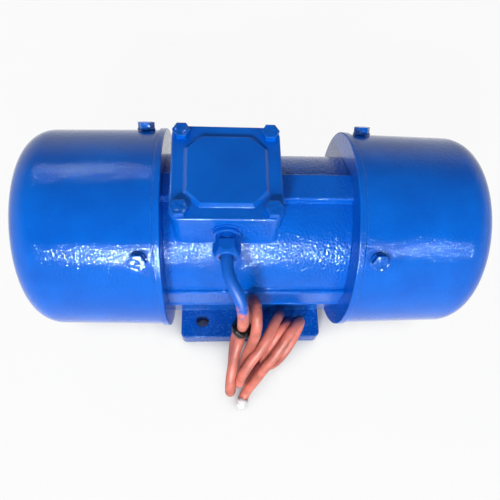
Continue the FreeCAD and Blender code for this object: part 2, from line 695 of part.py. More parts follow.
def fixed_weight():
    half_width = KEY_WIDTH / 2 + SLIDE_FIT
    keyway = block(WEIGHT_START, FIXED_END, -half_width, half_width, AXIS_HEIGHT,
                   AXIS_HEIGHT + WEIGHT_SEAT_R - KEY_DEPTH + KEY_HEIGHT + SLIDE_FIT)
    bore = shaft_rod(WEIGHT_START, FIXED_END, WEIGHT_SEAT_R + SLIDE_FIT)
    return cut_all(weight_blank(WEIGHT_START), [bore, keyway]).removeSplitter()


def weight_key():
    start = WEIGHT_START + (WEIGHT_THICKNESS - KEY_LENGTH) / 2
    bottom = AXIS_HEIGHT + WEIGHT_SEAT_R - KEY_DEPTH
    return block(start, start + KEY_LENGTH, -KEY_WIDTH / 2, KEY_WIDTH / 2, bottom, bottom + KEY_HEIGHT)


def clamp_height():
    """Height of the clamp bolt's axis above the shaft axis."""
    return WEIGHT_SEAT_R + CLAMP_LUG_HEIGHT / 2 + 2


def adjustable_weight():
    """Weight with a slit clamp, which is loosened to turn it on the shaft."""
    lug_top = AXIS_HEIGHT + WEIGHT_SEAT_R + CLAMP_LUG_HEIGHT + 2
    half_lug = CLAMP_LUG_WIDTH / 2
    lug = block(ADJUSTABLE_START, ADJUSTABLE_END, -half_lug, half_lug, AXIS_HEIGHT, lug_top)
    slit = block(ADJUSTABLE_START, ADJUSTABLE_END, -CLAMP_SLIT / 2, CLAMP_SLIT / 2, AXIS_HEIGHT, lug_top)
    bore = shaft_rod(ADJUSTABLE_START, ADJUSTABLE_END, WEIGHT_SEAT_R + RUNNING_FIT)
    middle = (ADJUSTABLE_START + ADJUSTABLE_END) / 2
    bolt_hole = rod(on_axis(middle, -half_lug - 1, clamp_height()), FRONT * -1, CLAMP_BOLT_R + SCREW_FIT,
                    CLAMP_LUG_WIDTH + 2)
    spot_r = M8[1] / math.sqrt(3) + HOLE_CLEARANCE
    spots = [rod(on_axis(middle, side * half_lug, clamp_height()), Vector(0, side, 0), spot_r, WEIGHT_HUB_R)
             for side in (-1, 1)]
    return cut_all(weight_blank(ADJUSTABLE_START).fuse(lug), [bore, slit, bolt_hole] + spots).removeSplitter()


def clamp_bolt():
    middle = (ADJUSTABLE_START + ADJUSTABLE_END) / 2
    seat = on_axis(middle, -CLAMP_LUG_WIDTH / 2, clamp_height())
    return hex_bolt(seat, FRONT, (CLAMP_BOLT_R, M8[1], M8[2]), CLAMP_LUG_WIDTH)


def end_washer():
    return shaft_ring(WASHER_START, NUT_START, END_WASHER_R, THREAD_R + SCREW_FIT)


def end_nut():
    body = hexagon(on_axis(NUT_START), ALONG_X, END_NUT_ACROSS, END_NUT_HEIGHT)
    return body.cut(shaft_rod(NUT_START, NUT_START + END_NUT_HEIGHT, THREAD_R + SCREW_FIT))


# ---- Covers -----------------------------------------------------------------
def cap_outline(edge_r, apex, crown_r, knuckle_r):
    """Where the tapered side, the knuckle and the crown of a domed cap meet."""
    draft = math.radians(COVER_TAPER)
    along = (math.cos(draft), -math.sin(draft))
    inward = (-math.sin(draft), -math.cos(draft))
    crown_x = apex - crown_r
    reach = crown_r - knuckle_r
    foot = (COVER_EDGE + knuckle_r * inward[0] - crown_x, edge_r + knuckle_r * inward[1])
    b = foot[0] * along[0] + foot[1] * along[1]
    c = foot[0] ** 2 + foot[1] ** 2 - reach ** 2
    side = -b + math.sqrt(b * b - c)
    tangent = (COVER_EDGE + side * along[0], edge_r + side * along[1])
    knuckle = (tangent[0] + knuckle_r * inward[0], tangent[1] + knuckle_r * inward[1])
    angle = math.atan2(knuckle[1], knuckle[0] - crown_x)
    meet = (crown_x + crown_r * math.cos(angle), crown_r * math.sin(angle))
    side_angle = math.pi / 2 - draft
    half = (side_angle + angle) / 2
    knuckle_mid = (knuckle[0] + knuckle_r * math.cos(half), knuckle[1] + knuckle_r * math.sin(half))
    crown_mid = (crown_x + crown_r * math.cos(angle / 2), crown_r * math.sin(angle / 2))
    return tangent, knuckle_mid, meet, crown_mid


def cap_solid(edge_r, apex, crown_r, knuckle_r):
    outline = cap_outline(edge_r, apex, crown_r, knuckle_r)
    tangent, knuckle_mid, meet, crown_mid = [on_axis(x, 0, r) for x, r in outline]
    base, rim, top = on_axis(COVER_EDGE), on_axis(COVER_EDGE, 0, edge_r), on_axis(apex)
    edges = [Part.LineSegment(base, rim).toShape(), Part.LineSegment(rim, tangent).toShape(),
             Part.Arc(tangent, knuckle_mid, meet).toShape(), Part.Arc(meet, crown_mid, top).toShape(),
             Part.LineSegment(top, base).toShape()]
    return Part.Face(Part.Wire(edges)).revolve(on_axis(0), ALONG_X, 360)


def cover():
    wall = COVER_WALL
    outside = cap_solid(COVER_R, COVER_APEX, COVER_CROWN_R, COVER_KNUCKLE_R)
    inside = cap_solid(COVER_R - COVER_WALL_ACROSS, COVER_APEX - wall, COVER_CROWN_R - wall,
                       COVER_KNUCKLE_R - wall)
    start_r = COVER_R - 5 * wall
    holes = [rod(at_radius(COVER_BOLT_X, start_r, angle), outward(angle), M8[0] + HOLE_CLEARANCE, 10 * wall)
             for angle in around(COVER_BOLTS, 45)]
    return cut_all(outside, [inside] + holes)


def cover_bolts():
    """Bolts whose washers just touch the tapered side of the cover."""
    washer_edge = COVER_BOLT_INSET - washer_radius(M8)
    seat_r = COVER_R - washer_edge * COVER_DRAFT + SLIDE_FIT
    parts = []
    for angle in around(COVER_BOLTS, 45):
        seat = at_radius(COVER_BOLT_X, seat_r, angle)
        parts += washered_bolt(seat, outward(angle), M8, COVER_BOLT_LENGTH)
    return parts


def cover_gasket():
    return shaft_ring(SHIELD_FACE, COVER_EDGE, COVER_R, COVER_SEAT_R + SLIDE_FIT)


# ---- Terminal box -----------------------------------------------------------
def lid_panel():
    """The raised panel: a square with cut corners and a bevelled edge."""
    half = LID_PANEL_SIDE / 2
    cut = LID_PANEL_CORNER
    outline = [(-half + cut, -half), (half - cut, -half), (half, -half + cut), (half, half - cut),
               (half - cut, half), (-half + cut, half), (-half, half - cut), (-half, -half + cut)]
    base = AXIS_HEIGHT + LID_TOP
    points = [Vector(BOX_X + x, y, base) for x, y in outline]
    panel = Part.Face(Part.makePolygon(points + points[:1])).extrude(Vector(0, 0, LID_PANEL_HEIGHT))
    return panel.makeChamfer(LID_PANEL_BEVEL, edges_at_height(panel, base + LID_PANEL_HEIGHT))


def lid():
    base, top = AXIS_HEIGHT + LID_BASE, AXIS_HEIGHT + LID_TOP
    plate = square_prism(BOX_X, LID_SIDE, base, top, LID_CORNER_R)
    plate = plate.makeFillet(LID_EDGE_R, edges_at_height(plate, top))
    cuts = [square_prism(BOX_X, LID_POCKET_SIDE, base, base + LID_POCKET_DEPTH, LID_PANEL_CORNER)]
    for x, y in box_corners(LID_BOLT_SPACING):
        cuts.append(rod(Vector(x, y, base), UP, M8[0] + HOLE_CLEARANCE, LID_RIM))
        cuts.append(rod(Vector(x, y, top), UP, LID_SEAT_R, LID_PANEL_HEIGHT))
    return cut_all(plate.fuse(lid_panel()), cuts).removeSplitter()


def lid_gasket():
    base, top = AXIS_HEIGHT + BOX_TOP, AXIS_HEIGHT + LID_BASE
    sheet = square_prism(BOX_X, BOX_SIDE, base, top, BOX_CORNER_R)
    holes = [rod(Vector(x, y, base), UP, M8[0] + HOLE_CLEARANCE, LID_GASKET)
             for x, y in box_corners(LID_BOLT_SPACING)]
    return cut_all(sheet, [box_cavity(base, top)] + holes)


def lid_bolts():
    top = AXIS_HEIGHT + LID_TOP
    return [hex_bolt(Vector(x, y, top), UP, M8, LID_BOLT_LENGTH) for x, y in box_corners(LID_BOLT_SPACING)]


def stud_places():
    return [(BLOCK_X + ix * STUD_PITCH_X, iy * STUD_PITCH_Y / 2) for iy in (-1, 1) for ix in (-1, 0, 1)]


def block_screw_places():
    return [(BLOCK_X + sx * (BLOCK_LENGTH / 2 - BLOCK_SCREW_INSET), 0) for sx in (-1, 1)]


def earth_screw():
    """Green-wire screw in the floor of the box."""
    return hex_bolt(on_axis(EARTH_X, EARTH_Y, BOX_FLOOR), UP, M5, EARTH_SCREW_LENGTH)


def terminal_block():
    body = block(BLOCK_X - BLOCK_LENGTH / 2, BLOCK_X + BLOCK_LENGTH / 2, -BLOCK_WIDTH / 2, BLOCK_WIDTH / 2,
                 AXIS_HEIGHT + BOX_FLOOR, AXIS_HEIGHT + STUD_BASE)
    body = body.makeFillet(BLOCK_CORNER_R, edges_along(body, UP))
    places = stud_places() + block_screw_places()
    holes = [rod(on_axis(x, y, BOX_FLOOR), UP, STUD_R + SCREW_FIT, BLOCK_HEIGHT) for x, y in places]
    return cut_all(body, holes)


def terminal_studs():
    return [rod(on_axis(x, y, BOX_FLOOR), UP, STUD_R, BLOCK_HEIGHT + STUD_HEIGHT) for x, y in stud_places()]


def nut_base(y):
    """Nuts on the linked row stand on the link, the others on the block."""
    return STUD_BASE + (LINK_THICKNESS if y > 0 else 0)


def terminal_nuts():
    nuts = []
    for x, y in stud_places():
        base = on_axis(x, y, nut_base(y))
        nut = hexagon(base, UP, TERMINAL_NUT_ACROSS, TERMINAL_NUT_HEIGHT)
        nuts.append(nut.cut(rod(base, UP, STUD_R + SCREW_FIT, TERMINAL_NUT_HEIGHT)))
    return nuts


def star_link():
    half = STUD_PITCH_X + LINK_WIDTH / 2
    y = STUD_PITCH_Y / 2
    strip = block(BLOCK_X - half, BLOCK_X + half, y - LINK_WIDTH / 2, y + LINK_WIDTH / 2,
                  AXIS_HEIGHT + STUD_BASE, AXIS_HEIGHT + STUD_BASE + LINK_THICKNESS)
    holes = [rod(on_axis(x, stud_y, STUD_BASE), UP, STUD_R + SCREW_FIT, LINK_THICKNESS)
             for x, stud_y in stud_places() if stud_y > 0]
    return cut_all(strip, holes)


def block_screws():
    size = (STUD_R, TERMINAL_NUT_ACROSS, BLOCK_SCREW_HEAD)
    grip = BLOCK_HEIGHT + BLOCK_SCREW_GRIP
    return [hex_bolt(on_axis(x, y, STUD_BASE), UP, size, grip) for x, y in block_screw_places()]


# ---- Cable gland and cable --------------------------------------------------
def gland_point(y):
    return on_axis(BOX_X, y, GLAND_HEIGHT)


def gland_washer():
    return tube(gland_point(BOX_FRONT), FRONT, GLAND_WASHER_R, GLAND_THREAD_R + SCREW_FIT,
                GLAND_WASHER_THICKNESS)


def gland_body():
    """Threaded shank in the box wall, a round flange, and the neck for the nut."""
    inside = BOX_FRONT + BOX_WALL
    shank = rod(gland_point(inside), FRONT, GLAND_THREAD_R, BOX_WALL + GLAND_WASHER_THICKNESS)
    flange = rod(gland_point(GLAND_START), FRONT, GLAND_FLANGE_R, GLAND_FLANGE_THICKNESS)
    neck = rod(gland_point(GLAND_NECK_START), FRONT, GLAND_NECK_R, GLAND_NECK_LENGTH)
    bore = rod(gland_point(inside), FRONT, GLAND_MOUTH_R, inside - GLAND_NUT_START)
    return shank.multiFuse([flange, neck]).cut(bore).removeSplitter()


def gland_nut():
    start = gland_point(GLAND_NUT_START)
    body = hexagon(start, FRONT, GLAND_NUT_ACROSS, GLAND_NUT_LENGTH)
    taper = Part.makeCone(GLAND_NUT_BACK_R, GLAND_NUT_FACE_R, GLAND_NUT_LENGTH, start, FRONT)
    return body.common(taper).cut(rod(start, FRONT, GLAND_MOUTH_R, GLAND_NUT_LENGTH))


def gland_seal():
    return tube(gland_point(GLAND_NECK_START), FRONT, GLAND_MOUTH_R - SLIDE_FIT, CABLE_R + SLIDE_FIT,
                GLAND_NECK_START - GLAND_MOUTH - GLAND_SEAL_SETBACK)


def cable_tail():
    """The cable's sheath inside the gland and just inside the box."""
    return rod(gland_point(CABLE_TAIL_Y), FRONT, CABLE_R, CABLE_TAIL_Y - GLAND_MOUTH)


def lead_space():
    """The upright slot that the lead and its tie come down, open to the front."""
    x, y, z = CABLE_ROUTE[-1]
    radius = CABLE_R + TIE_WALL + 2 * SOFT_GAP
    top = HANK_PEAK[1]
    slot = block(x - radius, x + radius, y - HANK_PEAK_DEPTH, y, z, top)
    return slot.fuse(rod(Vector(x, y, z), UP, radius, top - z))


def cable_hank():
    """The outer shape of the tied turns: a fan that stands on its edge before the foot."""
    points = [Vector(x, y, SOFT_GAP) for x, y in HANK_OUTLINE]
    fan = Part.Face(Part.makePolygon(points + points[:1])).extrude(Vector(0, 0, HANK_TOP - SOFT_GAP))
    fan = fan.makeFillet(HANK_CORNER_R, edges_along(fan, UP))
    (x0, x1), top = HANK_PEAK
    back = -SIDE_HALF_WIDTH - SOFT_GAP
    peak = block(x0, x1, back - HANK_PEAK_DEPTH, back, HANK_TOP - HANK_CORNER_R, top)
    peak = peak.makeFillet(HANK_CORNER_R, edges_along(peak, FRONT, lambda p: p.z > top - 1))
    x, y, _ = CABLE_ROUTE[-1]
    neck_start = HANK_TOP - HANK_CORNER_R
    neck = rod(Vector(x, y, neck_start), UP, HANK_NECK_R, HANK_NECK_TOP - neck_start)
    foot = block(-FOOT_LENGTH, FOOT_LENGTH, -FOOT_WIDTH / 2 - SOFT_GAP, 0, 0, FOOT_THICKNESS + SOFT_GAP)
    frame_side = block(-FOOT_LENGTH, FOOT_LENGTH, back, 0, 0, 2 * AXIS_HEIGHT)
    return cut_all(fan.fuse(peak).fuse(neck), [foot, frame_side, lead_space()]).removeSplitter()


def hank_tie():
    x, y, z = CABLE_ROUTE[-1]
    return tube(Vector(x, y, z), UP, CABLE_R + SOFT_GAP + TIE_WALL, CABLE_R + SOFT_GAP, TIE_WIDTH)


def cable_end_cap():
    return rod(Vector(*CAP_POINT), FRONT, END_CAP_R, END_CAP_LENGTH)


# ---- Leads inside the box ---------------------------------------------------
def front_studs():
    return [place for place in stud_places() if place[1] < 0]


def winding_leads():
    """Three leads from the coil head, up the duct and round to the front of their studs."""
    leads = []
    coil_top = STATOR_BORE_R + SLOT_LIP + COIL_HEAD_WALL + 2 * SOFT_GAP
    nut_top = STUD_BASE + TERMINAL_NUT_HEIGHT + LEAD_R
    for i, (x, y) in enumerate(front_studs()):
        duct_x = DUCT_X + (i - 1) * LEAD_PITCH
        lane = y - LANE_OFFSET - LEAD_PITCH * i
        route = [on_axis(duct_x, 0, coil_top), on_axis(duct_x, -LEAD_R, BOX_FLOOR - DUCT_BEND_DEPTH),
                 on_axis(duct_x + LEAD_PITCH, lane + LEAD_R, nut_top), on_axis(x - LEAD_RUN, lane, nut_top),
                 on_axis(x, y - STUD_R - LEAD_R, nut_top)]
        leads.append(tube_along(route, LEAD_R, "winding lead"))
    return leads


def supply_cores():
    """The cable's cores: one to each front stud, above the winding leads, and one to earth."""
    start = CABLE_TAIL_Y
    straight = start + CORE_STRAIGHT
    high = GLAND_HEIGHT + LEAD_R
    low = GLAND_HEIGHT - 2 * LEAD_R
    level = STUD_BASE + TERMINAL_NUT_HEIGHT + LEAD_PITCH + LEAD_R
    cores = []
    for i, (x, y) in enumerate(front_studs()):
        core_x = BOX_X + (i - 1) * CORE_PITCH
        route = [on_axis(core_x, start, high), on_axis(core_x, straight, high),
                 on_axis((core_x + x) / 2, straight + LEAD_RUN, level),
                 on_axis(x, y - LEAD_RUN, level + LEAD_R), on_axis(x, y - STUD_R - LEAD_R, level)]
        cores.append(tube_along(route, LEAD_R, "supply core"))
    earth_end = EARTH_X - M5[1] / math.sqrt(3) - LEAD_R
    route = [on_axis(BOX_X, start, low), on_axis(BOX_X, straight, low),
             on_axis(BOX_X + 2 * LEAD_RUN, EARTH_Y - LEAD_PITCH, BOX_FLOOR + LEAD_PITCH),
             on_axis(earth_end, EARTH_Y, BOX_FLOOR + 2 * LEAD_R)]
    cores.append(tube_along(route, LEAD_R, "earth core"))
    return cores


# ---- Nodes ------------------------------------------------------------------
def group(solids):
    return Part.makeCompound(solids)


NODES = {
    "frame": frame_casting(),
    "stator_core": stator_core(),
    "stator_windings": stator_windings(),
    "shaft": shaft(),
    "rotor_core": rotor_core(),
    "rotor_cage": rotor_cage(),
    "terminal_lid": lid(),
    "lid_gasket": lid_gasket(),
    "lid_bolts": group(lid_bolts()),
    "terminal_block": terminal_block(),
    "terminal_studs": group(terminal_studs()),
    "terminal_nuts": group(terminal_nuts()),
    "star_link": star_link(),
    "block_screws": group(block_screws()),
    "gland_washer": gland_washer(),
    "gland_body": gland_body(),
    "gland_nut": gland_nut(),
    "gland_seal": gland_seal(),
    "winding_leads": group(winding_leads()),
    "supply_cores": group(supply_cores()),
    "earth_screw": earth_screw(),
    "cable_tail": cable_tail(),
    "supply_cable": tube_along(CABLE_ROUTE, CABLE_R, "supply cable"),
    "cable_hank": cable_hank(),
    "hank_tie": hank_tie(),
    "cable_end_cap": cable_end_cap(),
}

END_PIECES = {
    "end_shield": end_shield(),
    "bearing_outer_ring": bearing_outer_ring(),
    "bearing_inner_ring": bearing_inner_ring(),
    "bearing_rollers": group(rollers()),
    "roller_cage": roller_cage(),
    "bearing_cap": bearing_cap(),
    "shaft_seal": shaft_seal(),
    "spacer_sleeve": spacer_sleeve(),
    "fixed_weight": fixed_weight(),
    "adjustable_weight": adjustable_weight(),
    "clamp_bolt": clamp_bolt(),
    "cover": cover(),
    "cover_gasket": cover_gasket(),
    "cover_bolts": group(cover_bolts()),
}
for name, shape in END_PIECES.items():
    NODES["right_" + name] = shape
    NODES["left_" + name] = mirrored(shape)

# Small pieces that are the same at both ends, each kind in one node.
PAIRED_PIECES = {
    "shield_screws": shield_screws(),
    "cap_screws": cap_screws(),
    "weight_keys": [weight_key()],
    "end_washers": [end_washer()],
    "end_nuts": [end_nut()],
}
for name, solids in PAIRED_PIECES.items():
    NODES[name] = group(solids + [mirrored(solid) for solid in solids])

os.makedirs("parts", exist_ok=True)
for name, shape in NODES.items():
    shape.exportStep(os.path.join("parts", name + ".step"))
print(len(NODES), "nodes, all valid:", all(shape.isValid() for shape in NODES.values()))
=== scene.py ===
# %% [markdown]
# # A foot-mounted vibration motor in blue enamel
# The motor is a cast frame with a domed pressed cover at each end, a terminal box on
# top, and a rubber-sheathed supply cable tied up for storage. Every hard piece comes
# from the CAD model, so this script does three things: it lays the cable and the small
# trim that CAD leaves plain, it gives every piece its finish, and it sets the lights.
# All positions are in metres, with the shaft along X and the mounting plane at Z = 0.
# %% Load the model
import math

import bmesh
import bpy
from mathutils import Matrix, Vector, noise


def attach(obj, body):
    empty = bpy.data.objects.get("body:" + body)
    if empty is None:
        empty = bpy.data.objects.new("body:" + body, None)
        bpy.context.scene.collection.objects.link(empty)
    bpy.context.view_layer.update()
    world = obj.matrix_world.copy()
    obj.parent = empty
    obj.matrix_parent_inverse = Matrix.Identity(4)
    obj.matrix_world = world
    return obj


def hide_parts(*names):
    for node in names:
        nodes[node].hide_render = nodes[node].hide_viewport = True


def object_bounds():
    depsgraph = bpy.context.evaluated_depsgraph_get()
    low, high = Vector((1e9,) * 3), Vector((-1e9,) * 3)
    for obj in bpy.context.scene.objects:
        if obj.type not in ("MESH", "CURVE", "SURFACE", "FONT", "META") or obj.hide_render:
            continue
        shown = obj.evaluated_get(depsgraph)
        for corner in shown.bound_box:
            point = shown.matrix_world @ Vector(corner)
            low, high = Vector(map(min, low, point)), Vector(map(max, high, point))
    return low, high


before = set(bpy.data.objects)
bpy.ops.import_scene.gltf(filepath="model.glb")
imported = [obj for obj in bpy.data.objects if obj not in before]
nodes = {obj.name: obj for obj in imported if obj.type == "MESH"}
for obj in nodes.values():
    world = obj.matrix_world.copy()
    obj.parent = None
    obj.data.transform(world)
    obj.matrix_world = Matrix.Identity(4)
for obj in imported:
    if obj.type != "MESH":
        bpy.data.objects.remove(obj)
cad_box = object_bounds()
print("CAD pieces:", len(nodes))
print("size in metres:", [round(a, 3) for a in cad_box[1] - cad_box[0]])

# %% [markdown]
# ## The camera
# The motor is seen from above and a little in front, standing close, so the far side
# looks smaller than the near side. A camera in Blender looks down its own -Z axis, so
# its matrix is made of the right, up and backward directions of the view. The small
# shift slides the view without turning the camera, as a view camera's lens does.
# %% Camera
CAMERA_PLACE = (-0.0334, -0.2325, 0.5162)
LOOK = (0.077, 0.379, -0.922)
ROUGHLY_UP = (0.002, 0.925, 0.380)
camera = bpy.data.objects.new("camera", bpy.data.cameras.new("camera"))
bpy.context.scene.collection.objects.link(camera)
bpy.context.scene.camera = camera
look = Vector(LOOK).normalized()
right = look.cross(Vector(ROUGHLY_UP)).normalized()
turn = Matrix((right, right.cross(look), -look)).transposed()
camera.matrix_world = Matrix.Translation(CAMERA_PLACE) @ turn.to_4x4()
camera.data.lens = 34.2
camera.data.sensor_width = 36.0
camera.data.shift_x = -0.0136
camera.data.shift_y = 0.0699
camera.data.clip_start = 0.01
bpy.context.scene.view_settings.view_transform = "Standard"
print("camera looks along", [round(a, 3) for a in look])

# %% [markdown]
# ## Where the supply cable runs
# The cable is one piece of round sheath: it droops out of the gland, passes through a
# twist of tape, and its spare length stands on edge in a few loose turns in front of
# the foot. Its route is written here turn by turn, in millimetres. The turns differ in
# size, meet at the front and fan out at the back, where nothing holds them.
# %% Cable points, in millimetres
LEAD = [(-28, -67.7, 173), (-28, -78, 173), (-24.6, -88, 171.3), (-19.6, -96.4, 167),
        (-16, -103.3, 160), (-14.4, -109, 149.6), (-14, -110.5, 135.4),
        (-13.8, -107.5, 121), (-13, -102, 106.5), (-13, -101.5, 91)]
LEFT_TURN = [(-13, -102.5, 79), (-15.8, -109, 68), (-19.6, -120.5, 60), (-22.4, -134, 54),
             (-23.8, -145, 44.5), (-23.8, -150, 31), (-22.6, -147, 17.5), (-21.2, -137, 9),
             (-20.3, -123, 6.5), (-20, -110.5, 9.5), (-19.2, -99.5, 18.5),
             (-17.2, -91, 31.5)]
SMALL_TURN = [(-14.3, -87.5, 46.5), (-11, -89, 61), (-8.2, -92.6, 74), (-6.2, -94.8, 83.5),
              (-5.8, -92, 92), (-6, -85, 98.5), (-5, -80.8, 107.2), (-3.6, -82.2, 116.4),
              (-2, -89, 122.2), (-1.2, -98.2, 122.2), (-1, -105.8, 117),
              (-1.2, -110, 108.4), (-1.6, -111.2, 98.4), (-2.4, -111.8, 87.5),
              (-3.6, -112.8, 76.5), (-5.2, -114.4, 66), (-6.8, -116.6, 57),
              (-8.5, -119, 49.5), (-11, -124.5, 38), (-11.6, -126.5, 26),
              (-9, -122.5, 14.5), (-3.2, -115, 8.5), (4, -106, 8.5), (11.5, -97.5, 14)]
MIDDLE_TURN = [(19, -91, 26), (25, -82, 41), (27.8, -78.6, 56), (26.5, -79.8, 69),
               (21.5, -88.5, 77.5), (14.6, -102, 80), (6.8, -115.5, 74.5),
               (-3.6, -126.4, 64), (-11.5, -136.5, 51.5), (-15.5, -141.5, 37),
               (-13.5, -139.5, 22), (-7.5, -132.6, 11), (4.5, -123.5, 6.5),
               (15.5, -111.5, 7), (24.5, -100, 15.5)]
RIGHT_TURN = [(31.5, -90.5, 28), (36.8, -84.4, 40), (38.6, -82.6, 52.5), (35.4, -86, 63),
              (28.2, -94, 67.5), (20.6, -103.6, 63), (14.8, -112.4, 51),
              (11.5, -118.6, 37.5), (13, -121.5, 25.5), (20, -120, 15),
              (28.5, -113.5, 9.5), (37.5, -104, 13), (45, -93.5, 24), (49.3, -85, 39),
              (49, -82.5, 54), (44.8, -88, 66), (38, -97, 71), (29.6, -108, 67)]
FREE_END = [(20.6, -119.5, 56.5), (10.8, -129.4, 42.5), (4, -136.6, 31), (-1, -141.2, 21),
            (-5, -145, 12.5), (-8.2, -149.4, 7.4), (-10.2, -155, 6.2)]
CABLE_R = 0.005
turns = LEFT_TURN + SMALL_TURN + MIDDLE_TURN + RIGHT_TURN
route = [Vector(p) / 1000 for p in LEAD + turns + FREE_END]
print("cable route:", len(route), "points")

# %% [markdown]
# ## A smooth tube along a route
# A NURBS curve suits a cable, because its points pull the line towards them like hands
# guiding a real cable, and the line stays smooth. The order is set after the points
# are in, since before that Blender lowers it to straight runs. Each point carries its
# own radius, so the same helper can make a tube that is not even.
# %% Tube helper
def nurbs(name, points, radius, resolution=10):
    """An open NURBS tube through a route of control points."""
    curve = bpy.data.curves.new(name, "CURVE")
    curve.dimensions = "3D"
    spline = curve.splines.new("NURBS")
    spline.points.add(len(points) - 1)
    for slot, point in zip(spline.points, points):
        slot.co = (*point, 1.0)
        slot.radius = radius
    spline.order_u = 3
    spline.use_endpoint_u = True
    spline.resolution_u = resolution
    curve.bevel_depth = 1.0
    curve.bevel_resolution = 7
    curve.use_fill_caps = True
    piece = bpy.data.objects.new(name, curve)
    bpy.context.scene.collection.objects.link(piece)
    return piece


cable = nurbs("supply_cord", route, CABLE_R)
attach(cable, "housing")
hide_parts("supply_cable", "cable_hank")
print("laid:", cable.name)

# %% [markdown]
# ## Measuring the cable
# The tape and the cap both depend on where the smooth line really goes, not on its
# control points. A copy of the curve without thickness, turned into a mesh, gives the
# points of that line in order.
# %% The cable's own line
def centre_line(piece):
    """The points along a curve's own line."""
    plain = piece.data.copy()
    plain.bevel_depth = 0.0
    bare = bpy.data.objects.new("line", plain)
    mesh = bpy.data.meshes.new_from_object(bare)
    line = [v.co.copy() for v in mesh.vertices]
    bpy.data.objects.remove(bare)
    return line


line = centre_line(cable)

# %% [markdown]
# ## Sheets and turned shapes from grids
# The tape is a ribbon and the cap is a turned shape, and both are grids of points. A
# grid becomes a mesh by joining each square of neighbours with a face. For a shape that
# closes on itself, the last row is joined to the first.
# %% Grid helpers
def mesh_piece(name, verts, faces):
    """A smooth-shaded mesh object from points and faces."""
    mesh = bpy.data.meshes.new(name)
    mesh.from_pydata([tuple(v) for v in verts], [], faces)
    mesh.update()
    mesh.shade_smooth()
    piece = bpy.data.objects.new(name, mesh)
    bpy.context.scene.collection.objects.link(piece)
    return piece


def ribbon_grid(rows, columns, closed_rows=False):
    """Faces between neighbouring rows of a grid of points."""
    faces = []
    for i in range(rows - (0 if closed_rows else 1)):
        for j in range(columns - 1):
            a = i * columns + j
            b = ((i + 1) % rows) * columns + j
            faces.append((a, b, b + 1, a + 1))
    return faces


print("faces in a grid of 3 by 3 points:", len(ribbon_grid(3, 3)))

# %% [markdown]
# ## The tape
# A strip of shiny black tape is wound round the cable and the turn beside it, so it is
# an oval band. It is swept as a flat ribbon: each lap lies a little higher and further
# out than the last, the middle of the ribbon bulges, and a slow wave along it stands
# for the creases that hand-wound tape has.
# %% Tape
TAPE_WIDTH = 0.0085
TAPE_THICKNESS = 0.0004
TAPE_LAPS = 3
TAPE_STEPS = 64         # along one lap
TAPE_COLUMNS = 7        # across the ribbon
TAPE_SLACK = 0.0005     # between the cable and the first lap
TAPE_LAYER = 0.0006     # each lap lies this much further out
TAPE_CLIMB = 0.0016     # and this much higher
TAPE_TILT = 0.0022
TAPE_SWAY = 0.0008
TAPE_BULGE = 0.0029
TAPE_CREASE = 0.0007
CREASES = 5             # round one lap
CREASE_SLANT = 9
CREASE_DRIFT = 2        # so the creases of one lap miss those of the next
TAPE_UNEVEN = 0.0002
FLAT_SIDE = 2.2         # how soon the oval's straight sides turn into its round ends


def tape_band(name, first, second, middle_height):
    """A ribbon wound round two upright strands that stand side by side."""
    along = Vector((second.x - first.x, second.y - first.y, 0))
    reach = along.length / 2
    along.normalize()
    across = Vector((-along.y, along.x, 0))
    middle = (first + second) / 2
    verts = []
    steps = TAPE_STEPS * TAPE_LAPS
    for i in range(steps + 1):
        lap = i / TAPE_STEPS
        a = 2 * math.pi * lap
        squareness = math.copysign(min(1.0, abs(math.cos(a)) * FLAT_SIDE), math.cos(a))
        away = (along * math.cos(a) + across * math.sin(a)).normalized()
        seed = Vector((math.cos(a) * 2, math.sin(a) * 2, lap * 3))
        out = CABLE_R + TAPE_SLACK + TAPE_LAYER * lap + TAPE_UNEVEN * noise.noise(seed)
        point = middle + along * (reach * squareness) + away * out
        climb = TAPE_CLIMB * (lap - TAPE_LAPS / 2)
        point.z = middle_height + climb + TAPE_TILT * away.y + TAPE_SWAY * math.sin(2 * a + lap)
        for j in range(TAPE_COLUMNS):
            s = j / (TAPE_COLUMNS - 1) - 0.5
            wave = CREASES * a + CREASE_SLANT * s + CREASE_DRIFT * lap
            puff = TAPE_BULGE * (1 - 4 * s * s) + TAPE_CREASE * math.sin(wave)
            verts.append(point + Vector((0, 0, TAPE_WIDTH * s)) + away * puff)
    piece = mesh_piece(name, verts, ribbon_grid(steps + 1, TAPE_COLUMNS))
    piece.modifiers.new("thickness", "SOLIDIFY").thickness = TAPE_THICKNESS
    return piece


print("tape:", TAPE_LAPS, "laps of", TAPE_WIDTH * 1000, "mm")

# %% [markdown]
# ## Winding it on
# The band has to sit on the cable as it was laid, so the two strands that it holds are
# looked up at the tape's height, each as the point of the line nearest to a guess.
# %% Tie the strands
TAPE_HEIGHT = 0.094
LEAD_GUESS = (-0.013, -0.1015)
RISING_GUESS = (-0.0058, -0.093)
LEVEL_BAND = 0.0015


def strand_at(height, guess):
    """Where the strand nearest to a guess (x, y) crosses a height."""
    near = Vector((*guess, height))
    level = [p for p in line if abs(p.z - height) < LEVEL_BAND]
    return min(level, key=lambda p: (p - near).length)


lead_strand = strand_at(TAPE_HEIGHT, LEAD_GUESS)
rising_strand = strand_at(TAPE_HEIGHT, RISING_GUESS)
tie = tape_band("tape_tie", lead_strand, rising_strand, TAPE_HEIGHT)
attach(tie, "housing")
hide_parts("hank_tie")
apart = (lead_strand - rising_strand).length
print("strands under the tape are", round(apart * 1000, 1), "mm apart")

